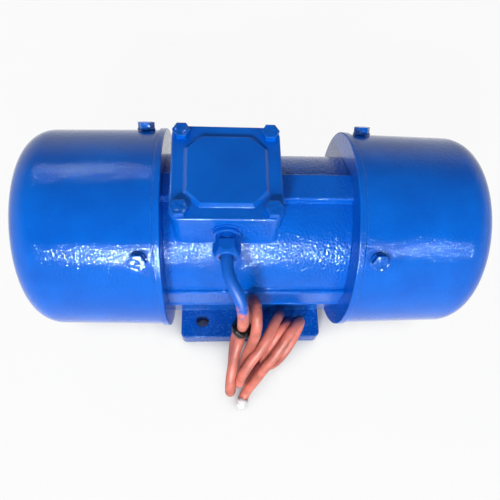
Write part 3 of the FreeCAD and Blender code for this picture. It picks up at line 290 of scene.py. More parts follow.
# %% [markdown]
# ## The end cap
# The cable's cut end wears a white shrink cap. It is turned like a lathe part from a
# short outline, which runs from the rim that grips the sheath to the round tip. A
# little noise in the radius gives the shallow wrinkles that heat leaves.
# %% End cap
CAP_STEPS = 40
CAP_RIPPLE = 0.06
CAP_WRINKLES = 900      # how quickly the ripple changes from rim to tip
CAP_OUTLINE = [(-0.0025, 0.00505), (-0.0025, 0.0055), (0.001, 0.0057), (0.0032, 0.0055),
               (0.0052, 0.0052), (0.0066, 0.0045), (0.0075, 0.0034), (0.008, 0.0018),
               (0.0081, 0.00001)]


def lathe(name, outline, base, axis):
    """Turns an outline of (distance along, radius) about an axis."""
    axis = axis.normalized()
    side = axis.orthogonal().normalized()
    other = axis.cross(side)
    verts = []
    for k in range(CAP_STEPS):
        a = 2 * math.pi * k / CAP_STEPS
        for x, r in outline:
            seed = Vector((math.cos(a) * 2, math.sin(a) * 2, x * CAP_WRINKLES))
            wave = 1 + CAP_RIPPLE * noise.noise(seed)
            verts.append(base + axis * x + (side * math.cos(a) + other * math.sin(a)) * r * wave)
    return mesh_piece(name, verts, ribbon_grid(CAP_STEPS, len(outline), closed_rows=True))


cap = lathe("cord_end_cap", CAP_OUTLINE, line[-1], line[-1] - line[-4])
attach(cap, "housing")
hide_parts("cable_end_cap")
print("cap at", [round(a, 4) for a in line[-1]])

# %% [markdown]
# ## Ridges on the frame
# Where each flat side of the frame turns inwards, a low, uneven ridge is left on the
# casting. The paint rounds it off, so it catches the light in a broken line. A thin
# tube half sunk in the casting is enough, with a radius that wanders from point to
# point.
# %% Casting ridges
RIDGE_X = 0.0845        # half its length
RIDGE_Y = 0.0737
RIDGE_Z = 0.0845
RIDGE_R = 0.0018
RIDGE_STEPS = 60
RIDGE_WANDER = 0.25     # share by which the radius grows and shrinks
RIDGE_LUMPS = 160       # how close together the lumps are
ridges = []
for side, name in ((-1, "front"), (1, "back")):
    stops = [Vector((-RIDGE_X + 2 * RIDGE_X * k / RIDGE_STEPS, side * RIDGE_Y, RIDGE_Z))
             for k in range(RIDGE_STEPS + 1)]
    ridge = nurbs("casting_ridge_" + name, stops, RIDGE_R, resolution=3)
    for slot, stop in zip(ridge.data.splines[0].points, stops):
        slot.radius = RIDGE_R * (1 + RIDGE_WANDER * noise.noise(stop * RIDGE_LUMPS))
    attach(ridge, "housing")
    ridges.append(ridge)
print("ridges:", len(ridges), "of", RIDGE_X * 2000, "mm")

# %% [markdown]
# ## Building node trees
# Every finish is a small network of shader nodes, and a few helpers keep that readable.
# One makes a material and hands over its tree and its Principled shader. One adds a
# node and sets its values in the same line. The last two fill an input with either
# another node's output or a plain number, and do sums that way.
# %% Node helpers
def new_material(name):
    """A node material, with its tree and its Principled shader."""
    material = bpy.data.materials.new(name)
    material.use_nodes = True
    tree = material.node_tree
    return material, tree, tree.nodes["Principled BSDF"]


def add(tree, kind, **settings):
    """Adds a node. Settings are its properties, or its input sockets' values."""
    node = tree.nodes.new(kind)
    for key, value in settings.items():
        if hasattr(node, key):
            setattr(node, key, value)
        else:
            node.inputs[key.replace("_", " ")].default_value = value
    return node


def feed(tree, value, socket):
    """Links a socket to an input, or sets the input to a plain value."""
    if isinstance(value, bpy.types.NodeSocket):
        tree.links.new(value, socket)
    else:
        socket.default_value = value


def maths(tree, operation, first, second):
    """A Math node whose inputs are sockets or plain numbers."""
    node = add(tree, "ShaderNodeMath", operation=operation)
    feed(tree, first, node.inputs[0])
    feed(tree, second, node.inputs[1])
    return node.outputs[0]


print("node helpers ready:", new_material.__name__, add.__name__, feed.__name__, maths.__name__)

# %% [markdown]
# ## White for whoever looks
# The background has to look white without flooding the motor with light. A Light Path
# node tells what kind of ray asks: the camera, a glossy reflection and glass get the
# white, and the rays that carry light to surfaces get a softer fill.
# %% White to viewers
def white_to_viewers(tree):
    """1 for what the camera, mirrors and glass see, and 0 for the light that fills the scene."""
    rays = add(tree, "ShaderNodeLightPath").outputs
    seen = maths(tree, "MAXIMUM", rays["Is Camera Ray"], rays["Is Glossy Ray"])
    return maths(tree, "MAXIMUM", seen, rays["Is Transmission Ray"])


print("seen as white by: camera, glossy and transmission rays")

# %% [markdown]
# ## The floor
# The motor stands on a plain pale floor that is so wide its edge is out of sight. Part
# of the floor glows for the camera, so it reads as white paper, and the rest takes
# light in the usual way, so the shadow under the motor stays. In the bolt holes and
# under the motor, where little sky reaches, the glow fades out.
# %% Floor
FLOOR_SIDE = 6.0
FLOOR_GAP = 0.0002      # below the foot
FLOOR_GREY = (0.6, 0.6, 0.6, 1)
GLOW_SHARE = 0.93
HOLLOW_REACH = 0.035
floor_mesh = bpy.data.meshes.new("studio_floor")
grid = bmesh.new()
bmesh.ops.create_grid(grid, x_segments=8, y_segments=8, size=FLOOR_SIDE / 2)
grid.to_mesh(floor_mesh)
grid.free()
floor = bpy.data.objects.new("studio_floor", floor_mesh)
floor.location.z = cad_box[0].z - FLOOR_GAP
bpy.context.scene.collection.objects.link(floor)
print("floor side:", FLOOR_SIDE, "m")

# %% [markdown]
# ## The floor's paper
# The paper mixes a matt surface with a glow. The share of glow is the product of three
# things: whether the ray is one that looks, how open the sky is above that spot, and a
# cap a little under one, which leaves room for the shadow.
# %% White paper
paper, tree, shader = new_material("white paper")
shader.inputs["Base Color"].default_value = FLOOR_GREY
shader.inputs["Roughness"].default_value = 0.9
shader.inputs["Specular IOR Level"].default_value = 0.0
glow = add(tree, "ShaderNodeEmission", Strength=1.0)
hollow = add(tree, "ShaderNodeAmbientOcclusion", samples=8, Distance=HOLLOW_REACH)
open_sky = add(tree, "ShaderNodeMapRange", From_Min=0.3, From_Max=0.8)
tree.links.new(hollow.outputs["AO"], open_sky.inputs["Value"])
seen = maths(tree, "MULTIPLY", white_to_viewers(tree), open_sky.outputs["Result"])
blend = add(tree, "ShaderNodeMixShader")
tree.links.new(maths(tree, "MULTIPLY", seen, GLOW_SHARE), blend.inputs[0])
tree.links.new(shader.outputs[0], blend.inputs[1])
tree.links.new(glow.outputs[0], blend.inputs[2])
tree.links.new(blend.outputs[0], tree.nodes["Material Output"].inputs["Surface"])
floor_mesh.materials.append(paper)
print("glow share of the floor:", GLOW_SHARE)

# %% [markdown]
# ## The world
# The world is white where the camera or a mirror looks at it, and gives a softer fill
# light to everything else. For lookers it is a white backdrop below a darker ceiling,
# so glossy paint that faces up keeps its deep colour.
# %% World
FILL = 0.21
CEILING = 0.22
BACKDROP_TOP = 0.2      # sine of the angle where the white starts to fade
CEILING_FROM = 0.65     # and where the ceiling is reached
world = bpy.data.worlds.new("studio")
world.use_nodes = True
bpy.context.scene.world = world
tree = world.node_tree
background = tree.nodes["Background"]
background.inputs["Color"].default_value = (1, 1, 1, 1)
climb = add(tree, "ShaderNodeSeparateXYZ")
tree.links.new(add(tree, "ShaderNodeTexCoord").outputs["Generated"], climb.inputs[0])
backdrop = add(tree, "ShaderNodeMapRange", interpolation_type="SMOOTHSTEP",
               From_Min=BACKDROP_TOP, From_Max=CEILING_FROM, To_Min=1.0, To_Max=CEILING)
tree.links.new(climb.outputs["Z"], backdrop.inputs["Value"])
level = add(tree, "ShaderNodeMapRange", To_Min=FILL)
tree.links.new(backdrop.outputs["Result"], level.inputs["To Max"])
tree.links.new(white_to_viewers(tree), level.inputs["Value"])
tree.links.new(level.outputs["Result"], background.inputs["Strength"])
print("fill light:", FILL, "ceiling:", CEILING)

# %% [markdown]
# ## The lamps
# The main light is a small bright window in front at the left. It makes the sparkle on
# the left cover and a crisp shadow behind the cable. Beside it a long, low window, wide
# from left to right and narrow from top to bottom, draws the streaks on the frame. Two
# small windows stand at the right and behind, for the glint on the right cover and the
# thin line along the top of the left one. Wet-looking enamel throws back much stronger
# glints than its colour would suggest, so three of the windows have a twin that only
# glossy reflections see.
# %% Windows
LAMPS_AIM_AT = Vector((0, 0, 0.1))
WINDOWS = [
    # name, direction, width, height, brightness, distance, roll in degrees, only shine
    ("key_window", (-0.27, -0.82, 0.50), 0.24, 0.03, 800.0, 1.7, 0, False),
    ("front_window", (0.02, -0.9, 0.42), 0.62, 0.02, 260.0, 1.7, 8, False),
    ("right_window", (0.47, -0.69, 0.56), 0.11, 0.03, 300.0, 1.6, 0, False),
    ("back_window", (-0.36, 0.55, 0.76), 0.34, 0.008, 300.0, 1.6, 0, False),
    ("front_shine", (0.02, -0.9, 0.42), 0.56, 0.02, 2600.0, 1.7, 8, True),
    ("left_shine", (-0.27, -0.82, 0.50), 0.22, 0.02, 1700.0, 1.7, 0, True),
    ("right_shine", (0.47, -0.69, 0.56), 0.06, 0.02, 900.0, 1.6, 0, True),
]


def window(name, direction, wide, high, brightness, distance, roll, only_shine):
    """A rectangular lamp turned to the motor, with the power for its brightness and area."""
    data = bpy.data.lights.new(name, "AREA")
    data.shape = "RECTANGLE"
    data.size, data.size_y = wide, high
    data.energy = brightness * math.pi * wide * high
    lamp = bpy.data.objects.new(name, data)
    away = Vector(direction).normalized()
    aim = away.to_track_quat("Z", "Y").to_matrix().to_4x4()
    spin = Matrix.Rotation(math.radians(roll), 4, "Z")
    lamp.matrix_world = Matrix.Translation(LAMPS_AIM_AT + away * distance) @ aim @ spin
    lamp.visible_diffuse = not only_shine
    bpy.context.scene.collection.objects.link(lamp)
    return lamp


lamps = [window(*values) for values in WINDOWS]
print("lamps and watts:", {lamp.name: round(lamp.data.energy) for lamp in lamps})

# %% [markdown]
# ## Effects that several finishes share
# Paint, metal and rubber all vary in the same few ways: patches of tone, fine grain,
# rubbed edges, paint mist and specks. The rubbed edges of the enamel are also a painted
# highlight, and the mist on the cable loops is also painted shade. Each effect is built
# once as a node group with named sockets, and every material then places it with its
# own values. This helper opens such a group, with its sockets and its two end nodes.
# %% Building a group
def effect(name, inputs, outputs):
    """A shader node group with named inputs and outputs, and its two end nodes."""
    tree = bpy.data.node_groups.new(name, "ShaderNodeTree")
    for label, kind, value in inputs:
        socket = tree.interface.new_socket(name=label, in_out="INPUT",
                                           socket_type="NodeSocket" + kind)
        socket.default_value = value
    for label, kind in outputs:
        tree.interface.new_socket(name=label, in_out="OUTPUT", socket_type="NodeSocket" + kind)
    return tree, tree.nodes.new("NodeGroupInput"), tree.nodes.new("NodeGroupOutput")


print("group helper ready:", effect.__name__)

# %% [markdown]
# ## Small tools inside a group
# Three steps come back in nearly every effect. One stretches a narrow range of a noise
# to the full range, which turns vague clouds into clear patches. One gives the point on
# the surface in metres, fixed to the piece, so a pattern moves with it. One mixes two
# colours.
# %% Ranges, places and mixes
def spread(tree, value, low, high, to_low=0.0, to_high=1.0):
    """Stretches a range of values to another, smoothly, and holds it there."""
    node = add(tree, "ShaderNodeMapRange", interpolation_type="SMOOTHSTEP")
    tree.links.new(value, node.inputs["Value"])
    limits = {"From Min": low, "From Max": high, "To Min": to_low, "To Max": to_high}
    for label, number in limits.items():
        feed(tree, number, node.inputs[label])
    return node.outputs["Result"]


def placed(tree):
    """The point on the surface, in metres, fixed to the piece."""
    return add(tree, "ShaderNodeTexCoord").outputs["Object"]


def mixed(tree, factor, first, second):
    """Mixes two colours, each a socket or a plain colour of three numbers."""
    node = add(tree, "ShaderNodeMix", data_type="RGBA")
    tree.links.new(factor, node.inputs["Factor"])
    for label, value in (("A", first), ("B", second)):
        socket = [s for s in node.inputs if s.name == label and s.type == "RGBA"][0]
        linked = isinstance(value, bpy.types.NodeSocket)
        feed(tree, value if linked else (*value, 1), socket)
    return [s for s in node.outputs if s.type == "RGBA"][0]


print("group tools ready:", spread.__name__, placed.__name__, mixed.__name__)

# %% [markdown]
# ## Mottle
# No sprayed or moulded surface has one tone all over. Soft clouds of noise, pulled
# apart into clearer patches, stand for the places where paint lies thicker or where
# hands have dulled it.
# %% Mottle: soft patches of tone
mottle, start, end = effect(
    "mottle",
    [("Scale", "Float", 30.0), ("Low", "Float", 0.35), ("High", "Float", 0.65)],
    [("Mask", "Float")])
clouds = add(mottle, "ShaderNodeTexNoise", Detail=4.0, Roughness=0.55)
mottle.links.new(placed(mottle), clouds.inputs["Vector"])
mottle.links.new(start.outputs["Scale"], clouds.inputs["Scale"])
patches = spread(mottle, clouds.outputs["Fac"], start.outputs["Low"], start.outputs["High"])
mottle.links.new(patches, end.inputs["Mask"])
print("effect:", mottle.name, "from", len(mottle.nodes), "nodes")

# %% [markdown]
# ## Grain
# Cast iron keeps the pimples of the sand it was poured in, and sprayed or drawn
# surfaces have a finer relief of their own. Two sizes of noise are added up, and the
# small one can be turned down. Stretching the place they are read from draws the grain
# out into fine lines, like those of turned steel.
# %% Grain: the fine relief of cast, sprayed or drawn surfaces
FINER = 3.7             # how many times finer the small noise is
grain, start, end = effect(
    "grain",
    [("Scale", "Float", 500.0), ("Fine Share", "Float", 0.3), ("Stretch", "Vector", (1, 1, 1))],
    [("Height", "Float")])
stretched = add(grain, "ShaderNodeVectorMath", operation="MULTIPLY")
grain.links.new(placed(grain), stretched.inputs[0])
grain.links.new(start.outputs["Stretch"], stretched.inputs[1])
coarse = add(grain, "ShaderNodeTexNoise", Detail=0.6, Roughness=0.5)
fine = add(grain, "ShaderNodeTexNoise", Detail=1.0, Roughness=0.5)
for texture in (coarse, fine):
    grain.links.new(stretched.outputs[0], texture.inputs["Vector"])
grain.links.new(start.outputs["Scale"], coarse.inputs["Scale"])
grain.links.new(maths(grain, "MULTIPLY", start.outputs["Scale"], FINER), fine.inputs["Scale"])
small = maths(grain, "MULTIPLY", fine.outputs["Fac"], start.outputs["Fine Share"])
grain.links.new(maths(grain, "ADD", coarse.outputs["Fac"], small), end.inputs["Height"])
print("effect:", grain.name, "from", len(grain.nodes), "nodes")

# %% [markdown]
# ## Edge wear and painted highlight
# Paint draws back from a sharp corner and hands rub it first, so an edge is thinner
# and a little rounded. A Bevel node bends the shading normal near a corner, and how
# far it leans from the true one says where the corners are. A noise breaks the worn
# line up. The bent normal is passed on too, so the edge catches the light. On the
# enamel the mask also mixes in a lighter blue, which is partly worn paint and partly
# a painted highlight along the edge.
# %% Edge wear and highlight: where a corner is rubbed and painted lighter, and the small radius that paint leaves on it
CORNER_LEAN = (0.02, 0.2)
BREAK_RANGE = (0.35, 0.6)
edge_wear, start, end = effect(
    "edge_wear",
    [("Width", "Float", 0.0008), ("Breaks", "Float", 160.0)],
    [("Mask", "Float"), ("Normal", "Vector")])
rounded = add(edge_wear, "ShaderNodeBevel", samples=6)
edge_wear.links.new(start.outputs["Width"], rounded.inputs["Radius"])
flat = add(edge_wear, "ShaderNodeNewGeometry")
lean = add(edge_wear, "ShaderNodeVectorMath", operation="DOT_PRODUCT")
edge_wear.links.new(rounded.outputs["Normal"], lean.inputs[0])
edge_wear.links.new(flat.outputs["Normal"], lean.inputs[1])
breaks = add(edge_wear, "ShaderNodeTexNoise", Detail=2.0)
edge_wear.links.new(placed(edge_wear), breaks.inputs["Vector"])
edge_wear.links.new(start.outputs["Breaks"], breaks.inputs["Scale"])
leaning = maths(edge_wear, "SUBTRACT", 1.0, lean.outputs["Value"])
corner = spread(edge_wear, leaning, *CORNER_LEAN)
broken = spread(edge_wear, breaks.outputs["Fac"], *BREAK_RANGE)
edge_wear.links.new(maths(edge_wear, "MULTIPLY", corner, broken), end.inputs["Mask"])
edge_wear.links.new(rounded.outputs["Normal"], end.inputs["Normal"])
print("effect:", edge_wear.name, "from", len(edge_wear.nodes), "nodes")

# %% [markdown]
# ## Paint mist, and painted shade
# A spray gun leaves a soft patch on whatever stands near the piece being painted. On
# the cable loops the same patch is partly painted shade, for the shadow the loops stand
# in. The distance from the middle of the patch gives a round spot, and a noise shakes
# that distance, so the rim is ragged.
# %% Paint mist: a soft patch of spray round a point, also used for painted shade
RAGGED_SCALE = 420.0
mist, start, end = effect(
    "paint_mist",
    [("Centre", "Vector", (0, 0, 0)), ("Reach", "Float", 0.015), ("Edge", "Float", 0.006)],
    [("Mask", "Float")])
far = add(mist, "ShaderNodeVectorMath", operation="DISTANCE")
mist.links.new(placed(mist), far.inputs[0])
mist.links.new(start.outputs["Centre"], far.inputs[1])
ragged = add(mist, "ShaderNodeTexNoise", Scale=RAGGED_SCALE, Detail=3.0)
mist.links.new(placed(mist), ragged.inputs["Vector"])
either_way = maths(mist, "SUBTRACT", ragged.outputs["Fac"], 0.5)
shaken = maths(mist, "MULTIPLY", either_way, start.outputs["Edge"])
reach = maths(mist, "ADD", far.outputs["Value"], shaken)
inner = maths(mist, "SUBTRACT", start.outputs["Reach"], start.outputs["Edge"])
faded = spread(mist, reach, inner, start.outputs["Reach"], 1.0, 0.0)
mist.links.new(faded, end.inputs["Mask"])
print("effect:", mist.name, "from", len(mist.nodes), "nodes")

# %% [markdown]
# ## Specks
# Small separate dots, which scatter light specks on the foot of the casting. A Voronoi
# texture cuts space into cells. Each cell gets a dot at its middle, sized by the cell's
# own random colour, so some cells have a large dot and some hardly any.
# %% Specks: small separate dots
specks, start, end = effect(
    "specks",
    [("Scale", "Float", 600.0), ("Size", "Float", 0.25)],
    [("Mask", "Float")])
cells = add(specks, "ShaderNodeTexVoronoi")
specks.links.new(placed(specks), cells.inputs["Vector"])
specks.links.new(start.outputs["Scale"], cells.inputs["Scale"])
parts = add(specks, "ShaderNodeSeparateColor")
specks.links.new(cells.outputs["Color"], parts.inputs[0])
own_size = maths(specks, "MULTIPLY", parts.outputs[0], start.outputs["Size"])
inside = maths(specks, "LESS_THAN", cells.outputs["Distance"], own_size)
specks.links.new(inside, end.inputs["Mask"])
print("effect:", specks.name, "from", len(specks.nodes), "nodes")

# %% [markdown]
# ## Placing an effect in a material
# A material places a group as one node and sets its sockets. Two more helpers finish
# the job: one feeds a height into the shading, so the surface looks rough without any
# more faces, and one sets how glossy and how metallic the surface is.
# %% Placing an effect
def place(tree, group, **values):
    """Places a group in a material with that material's own values."""
    node = tree.nodes.new("ShaderNodeGroup")
    node.node_tree = group
    for label, value in values.items():
        node.inputs[label.replace("_", " ")].default_value = value
    return node


def relief(tree, shader, height, depth, normal=None):
    """Feeds a height through a Bump node into the shader's normal."""
    bump = add(tree, "ShaderNodeBump", Strength=1.0, Distance=depth)
    tree.links.new(height, bump.inputs["Height"])
    if normal is not None:
        tree.links.new(normal, bump.inputs["Normal"])
    tree.links.new(bump.outputs[0], shader.inputs["Normal"])


def set_shader(shader, roughness, metallic=0.0, specular=0.5):
    """How blurred its reflections are, whether it is metal, and how much it reflects."""
    shader.inputs["Roughness"].default_value = roughness
    shader.inputs["Metallic"].default_value = metallic
    shader.inputs["Specular IOR Level"].default_value = specular


print("shared effects:", sorted(group.name for group in bpy.data.node_groups))

# %% [markdown]
# ## The foot of the casting
# The lowest part of the frame, its foot, is mixed a shade darker, with light specks
# on it. The height above the mounting plane decides where that begins.
# %% Darker at the foot
FOOT_TOP = 0.0185
FOOT_FADE = 0.004
FOOT_DARKER = 0.35
SPECK_SHARE = 0.55
FOOT_DARK_BLUE = (0.002, 0.01, 0.08)
SPECK_BLUE = (0.09, 0.3, 0.62)


def darker_at_the_foot(tree, colour):
    """Darkens the lowest part of a casting and scatters lighter specks on it."""
    point = add(tree, "ShaderNodeSeparateXYZ")
    tree.links.new(placed(tree), point.inputs[0])
    low = spread(tree, point.outputs["Z"], FOOT_TOP, FOOT_TOP + FOOT_FADE, 1.0, 0.0)
    dots = place(tree, specks, Scale=620.0, Size=0.42)
    on_foot = maths(tree, "MULTIPLY", dots.outputs["Mask"], low)
    dotted = maths(tree, "MULTIPLY", on_foot, SPECK_SHARE)
    # mixes the foot towards a darker blue, darker towards the bottom
    colour = mixed(tree, maths(tree, "MULTIPLY", low, FOOT_DARKER), colour, FOOT_DARK_BLUE)
    return mixed(tree, dotted, colour, SPECK_BLUE)


# the darker foot ends at this height
print("thin paint below", FOOT_TOP + FOOT_FADE, "m")

# %% [markdown]
# ## Blue enamel
# The whole motor was sprayed in one go after it was put together, so frame, covers,
# bolts and gland share one glossy paint. The paint is thin over cast iron, and the
# sand-cast grain shows through it, while the pressed covers underneath stay smooth.
# One function makes all five kinds, with a different depth of grain. A low roughness
# over that grain is what breaks a lamp's reflection into separate white sparkles.
# %% Enamel
DEEP_BLUE = (0.0004, 0.098, 0.54)
CLEAR_BLUE = (0.0006, 0.128, 0.64)
# lighter blue on enamel edges: paint worn thin there, and partly a painted highlight along the
# edge
WORN_AND_HIGHLIGHT_BLUE = (0.03, 0.27, 0.78)
SHEEN_TINT = (0.6, 0.82, 1.0, 1)
WORN_AND_HIGHLIGHT_SHARE = 0.6        # how much of the lighter blue an edge shows
FINE_SHARE = 0.03
GLOSSIER, DULLER = 0.8, 1.3


def enamel(name, grain_scale, grain_depth, roughness, edge_width, casting=False):
    """Glossy blue paint over a surface with its own grain."""
    material, tree, shader = new_material(name)
    set_shader(shader, roughness, specular=0.35)
    shader.inputs["Specular Tint"].default_value = SHEEN_TINT
    tone = place(tree, mottle, Scale=22.0, Low=0.3, High=0.7)
    colour = mixed(tree, tone.outputs["Mask"], DEEP_BLUE, CLEAR_BLUE)
    edges = place(tree, edge_wear, Width=edge_width, Breaks=140.0)
    # the edges are mixed lighter: worn paint, and partly a painted highlight
    thin = maths(tree, "MULTIPLY", edges.outputs["Mask"], WORN_AND_HIGHLIGHT_SHARE)
    colour = mixed(tree, thin, colour, WORN_AND_HIGHLIGHT_BLUE)
    if casting:
        colour = darker_at_the_foot(tree, colour)
    tree.links.new(colour, shader.inputs["Base Color"])
    gloss = place(tree, mottle, Scale=60.0, Low=0.3, High=0.7)
    best, worst = roughness * GLOSSIER, roughness * DULLER
    rough = spread(tree, gloss.outputs["Mask"], 0.0, 1.0, best, worst)
    tree.links.new(rough, shader.inputs["Roughness"])
    skin = place(tree, grain, Scale=grain_scale, Fine_Share=FINE_SHARE)
    relief(tree, shader, skin.outputs["Height"], grain_depth, edges.outputs["Normal"])
    return material


# name, grain scale, grain depth, roughness, width of a worn edge
cast_enamel = enamel("enamel on casting", 480.0, 0.0007, 0.05, 0.0014, casting=True)
shield_enamel = enamel("enamel on end shields", 560.0, 0.0004, 0.07, 0.0014)
smooth_enamel = enamel("enamel on pressed covers", 620.0, 0.00028, 0.05, 0.0007)
box_enamel = enamel("enamel on terminal box", 300.0, 0.00012, 0.09, 0.0011)
bolt_enamel = enamel("enamel on bolts", 240.0, 0.0012, 0.09, 0.0012)
print("enamel finishes:", sum(m.name.startswith("enamel") for m in bpy.data.materials))

# %% [markdown]
# ## Cable sheath
# The sheath is soft salmon-coloured rubber with a slight sheen. The paint gun caught
# the stretch by the gland, which is blue. The dark navy and plum patches on the loops
# that stood nearest are partly paint mist and partly painted shade, for the shadow
# those loops stand in. Beside the tape its glue has left dark streaks. Each of these
# is one more layer mixed over the rubber's own colour.
# %% Sheath
SALMON = (0.74, 0.22, 0.165)
DUSKY_SALMON = (0.44, 0.12, 0.09)
# navy and plum: paint mist, and partly painted shade on the shaded loop tops
MIST_AND_SHADE_NAVY = (0.02, 0.03, 0.13)
MIST_AND_SHADE_PLUM = (0.1, 0.03, 0.06)
GLUE_GREY = (0.05, 0.035, 0.045)
SPRAYED_BLUE = (0.001, 0.11, 0.56)
MIST_AND_SHADE_SHARE = 0.9
MIST_AND_SHADE_PATCHES = [
    # middle, reach, width of the rim, colour
    ((0.026, -0.079, 0.066), 0.017, 0.010, MIST_AND_SHADE_NAVY),
    ((0.038, -0.083, 0.060), 0.014, 0.009, MIST_AND_SHADE_NAVY),
    ((-0.004, -0.082, 0.113), 0.021, 0.012, MIST_AND_SHADE_PLUM),
]
GLUE_AT = (-0.0135, -0.107, 0.0835)
GLAND_PAINT_Z = (0.154, 0.164)      # the paint fades in between these heights
LEAD_SIDE_X = (-0.0095, -0.0085)    # and only on the stretch left of these
PAINT_WOBBLE = 0.02
WOBBLE_MIDDLE = 0.65
RUBBER_DEPTH = 0.0001
sheath, tree, shader = new_material("cable sheath")
set_shader(shader, roughness=0.45, specular=0.18)
worn = place(tree, mottle, Scale=55.0, Low=0.3, High=0.75)
colour = mixed(tree, worn.outputs["Mask"], SALMON, DUSKY_SALMON)
# each patch darkens a loop top: part paint mist, part painted shade
for centre, reach, edge, mist_and_shade in MIST_AND_SHADE_PATCHES:
    patch = place(tree, mist, Centre=centre, Reach=reach, Edge=edge)
    cover = maths(tree, "MULTIPLY", patch.outputs["Mask"], MIST_AND_SHADE_SHARE)
    colour = mixed(tree, cover, colour, mist_and_shade)
glue = place(tree, mist, Centre=GLUE_AT, Reach=0.0105, Edge=0.009)
streaks = place(tree, mottle, Scale=330.0, Low=0.44, High=0.52)
smear = maths(tree, "MULTIPLY", glue.outputs["Mask"], streaks.outputs["Mask"])
colour = mixed(tree, smear, colour, GLUE_GREY)
point = add(tree, "ShaderNodeSeparateXYZ")
tree.links.new(placed(tree), point.inputs[0])
ragged = place(tree, grain, Scale=260.0, Fine_Share=0.6)
either_way = maths(tree, "SUBTRACT", ragged.outputs["Height"], WOBBLE_MIDDLE)
wobble = maths(tree, "MULTIPLY", either_way, PAINT_WOBBLE)
height = maths(tree, "ADD", point.outputs["Z"], wobble)
on_lead = spread(tree, point.outputs["X"], *LEAD_SIDE_X, 1.0, 0.0)
by_gland = maths(tree, "MULTIPLY", spread(tree, height, *GLAND_PAINT_Z), on_lead)
colour = mixed(tree, by_gland, colour, SPRAYED_BLUE)
tree.links.new(colour, shader.inputs["Base Color"])
rubber_skin = place(tree, grain, Scale=700.0, Fine_Share=0.4)
relief(tree, shader, rubber_skin.outputs["Height"], RUBBER_DEPTH)
cable.data.materials.append(sheath)
print("sheath finish:", sheath.name, "with", len(MIST_AND_SHADE_PATCHES), "patches of mist")

# %% [markdown]
# ## Tape and cap
# The tape is glossy black, with creases along its length and a little dust. The cap is
# white plastic that has been handled, so it is grubby in places and wrinkled by heat.
# Both have the same build, two tones, a gloss and a relief, so one function makes them.
# %% Small cable parts
def cable_part(name, gloss, tones, dirt, skin, depth):
    """A finish of two tones with relief, for the small parts on the cable."""
    material, tree, shader = new_material(name)
    set_shader(shader, **gloss)
    dirty = place(tree, mottle, **dirt)
    tree.links.new(mixed(tree, dirty.outputs["Mask"], *tones), shader.inputs["Base Color"])
    relief(tree, shader, place(tree, grain, **skin).outputs["Height"], depth)
    return material


TAPE_TONES = ((0.004, 0.004, 0.007), (0.014, 0.012, 0.02))
CAP_TONES = ((0.86, 0.86, 0.86), (0.6, 0.57, 0.55))
tape = cable_part("glossy tape", dict(roughness=0.1, specular=0.35), TAPE_TONES,
                  dict(Scale=300.0, Low=0.5, High=0.85),
                  dict(Scale=160.0, Fine_Share=0.5, Stretch=(1, 1, 2.6)), 0.0005)
cap_white = cable_part("white shrink cap", dict(roughness=0.35, specular=0.4), CAP_TONES,
                       dict(Scale=260.0, Low=0.5, High=0.8),
                       dict(Scale=380.0, Fine_Share=0.4), 0.0004)
tie.data.materials.append(tape)
cap.data.materials.append(cap_white)
print("cable finishes:", sheath.name, "/", tape.name, "/", cap_white.name)

# %% [markdown]
# ## Everything inside
# The pieces that the covers hide get real finishes too, because the model can be opened.
# They are made by one function from a short table: two tones that drift into each
# other, a grain, and a rubbed edge where metal is bare.
# %% One function for the hidden pieces
def plain_finish(name, tone, second, roughness, metallic, scale, depth, stretch, bare):
    """A finish of two drifting tones with grain, and rubbed edges where bare is a colour."""
    material, tree, shader = new_material(name)
    set_shader(shader, roughness, metallic)
    patches = place(tree, mottle, Scale=45.0, Low=0.3, High=0.7)
    colour = mixed(tree, patches.outputs["Mask"], tone, second)
    edges = place(tree, edge_wear, Width=0.0005, Breaks=220.0)
    if bare:
        colour = mixed(tree, edges.outputs["Mask"], colour, bare)
    tree.links.new(colour, shader.inputs["Base Color"])
    duller = min(1.0, roughness * 1.25)
    rough = spread(tree, patches.outputs["Mask"], 0.0, 1.0, roughness * 0.85, duller)
    tree.links.new(rough, shader.inputs["Roughness"])
    skin = place(tree, grain, Scale=scale, Fine_Share=0.4, Stretch=stretch)
    relief(tree, shader, skin.outputs["Height"], depth, edges.outputs["Normal"])
    return material


print("hidden pieces are finished by:", plain_finish.__name__)

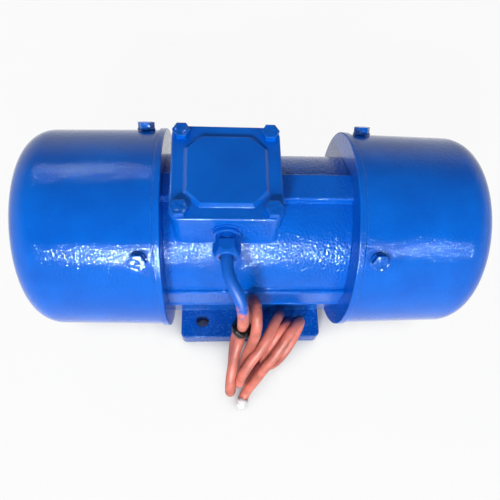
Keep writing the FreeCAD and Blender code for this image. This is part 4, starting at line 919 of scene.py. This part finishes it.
# %% [markdown]
# ## The table of hidden finishes
# Each row is one slot of the CAD model. The laminations are dark stacked steel, the
# winding is copper under varnish, and the weights are dark iron. Turned steel has its
# grain drawn out round the shaft. Rubber, plastic, varnish and the leads' insulation
# show no bare edge.
# %% Finishes for the hidden pieces
EVEN = (1, 1, 1)        # a grain that is not drawn out
FINISHES = {
    # slot: tone, second tone,
    #       roughness, metallic, grain scale, grain depth, stretch, bare edge
    "lamination_steel": ((0.16, 0.17, 0.19), (0.24, 0.24, 0.25),
                         0.45, 0.9, 900, 0.0002, (4, 1, 1), (0.5, 0.5, 0.5)),
    "varnished_copper": ((0.45, 0.13, 0.045), (0.3, 0.075, 0.03),
                         0.3, 0.6, 800, 0.0004, EVEN, None),
    "cast_aluminium": ((0.62, 0.62, 0.63), (0.5, 0.5, 0.52),
                       0.42, 0.95, 500, 0.0003, EVEN, (0.8, 0.8, 0.8)),
    "machined_steel": ((0.52, 0.52, 0.53), (0.44, 0.44, 0.46),
                       0.26, 1.0, 300, 0.0001, (9, 1, 1), (0.75, 0.75, 0.75)),
    "bearing_steel": ((0.6, 0.6, 0.62), (0.53, 0.53, 0.56),
                      0.16, 1.0, 400, 0.00005, (6, 1, 1), (0.8, 0.8, 0.8)),
    "cage_brass": ((0.72, 0.47, 0.16), (0.6, 0.37, 0.12),
                   0.28, 1.0, 500, 0.0001, EVEN, (0.9, 0.65, 0.3)),
    "weight_iron": ((0.11, 0.11, 0.12), (0.18, 0.17, 0.17),
                    0.5, 0.8, 420, 0.0004, EVEN, (0.45, 0.45, 0.45)),
    "zinc_fasteners": ((0.55, 0.56, 0.58), (0.66, 0.64, 0.56),
                       0.3, 0.95, 600, 0.0001, EVEN, (0.8, 0.8, 0.8)),
    "terminal_brass": ((0.75, 0.5, 0.19), (0.66, 0.42, 0.15),
                       0.25, 1.0, 500, 0.0001, EVEN, (0.9, 0.7, 0.35)),
    "moulded_insulation": ((0.1, 0.035, 0.02), (0.14, 0.05, 0.03),
                           0.4, 0.0, 700, 0.0001, EVEN, None),
    "black_rubber": ((0.012, 0.012, 0.013), (0.03, 0.03, 0.03),
                     0.6, 0.0, 800, 0.0002, EVEN, None),
    "lead_insulation": ((0.62, 0.6, 0.55), (0.5, 0.47, 0.42),
                        0.5, 0.0, 700, 0.0001, EVEN, None),
}
made = {slot: plain_finish(slot.replace("_", " "), *row) for slot, row in FINISHES.items()}
made["cable_sheath"] = sheath
made["black_tape"] = tape
made["white_cap"] = cap_white
print("finishes besides the enamel:", len(made))

# %% [markdown]
# ## Giving each piece its finish
# The CAD model's slots say what a piece is made of. Everything in blue enamel was
# painted together, and the kind of piece underneath decides which of the five enamels
# it gets. The gaskets are rubber, but the gun went over their rims, so they are painted
# as well.
# %% Finishes on the pieces
def enamel_for(node):
    """Which of the enamel finishes a painted piece has."""
    if "bolt" in node:
        return bolt_enamel
    if "cover" in node:
        return smooth_enamel
    if "shield" in node:
        return shield_enamel
    return cast_enamel if node == "frame" else box_enamel


finished = 0
for name, piece in nodes.items():
    for holder in piece.material_slots:
        slot = [s for s in [*made, "blue_enamel"] if holder.material.name.startswith(s)][0]
        painted = slot == "blue_enamel" or "gasket" in name
        holder.material = enamel_for(name) if painted else made[slot]
        finished += 1
for ridge in ridges:
    ridge.data.materials.append(cast_enamel)
print("CAD surfaces finished:", finished)

# %% [markdown]
# ## The last update
# The view layer is brought up to date once more.
# %% Update
bpy.context.view_layer.update()
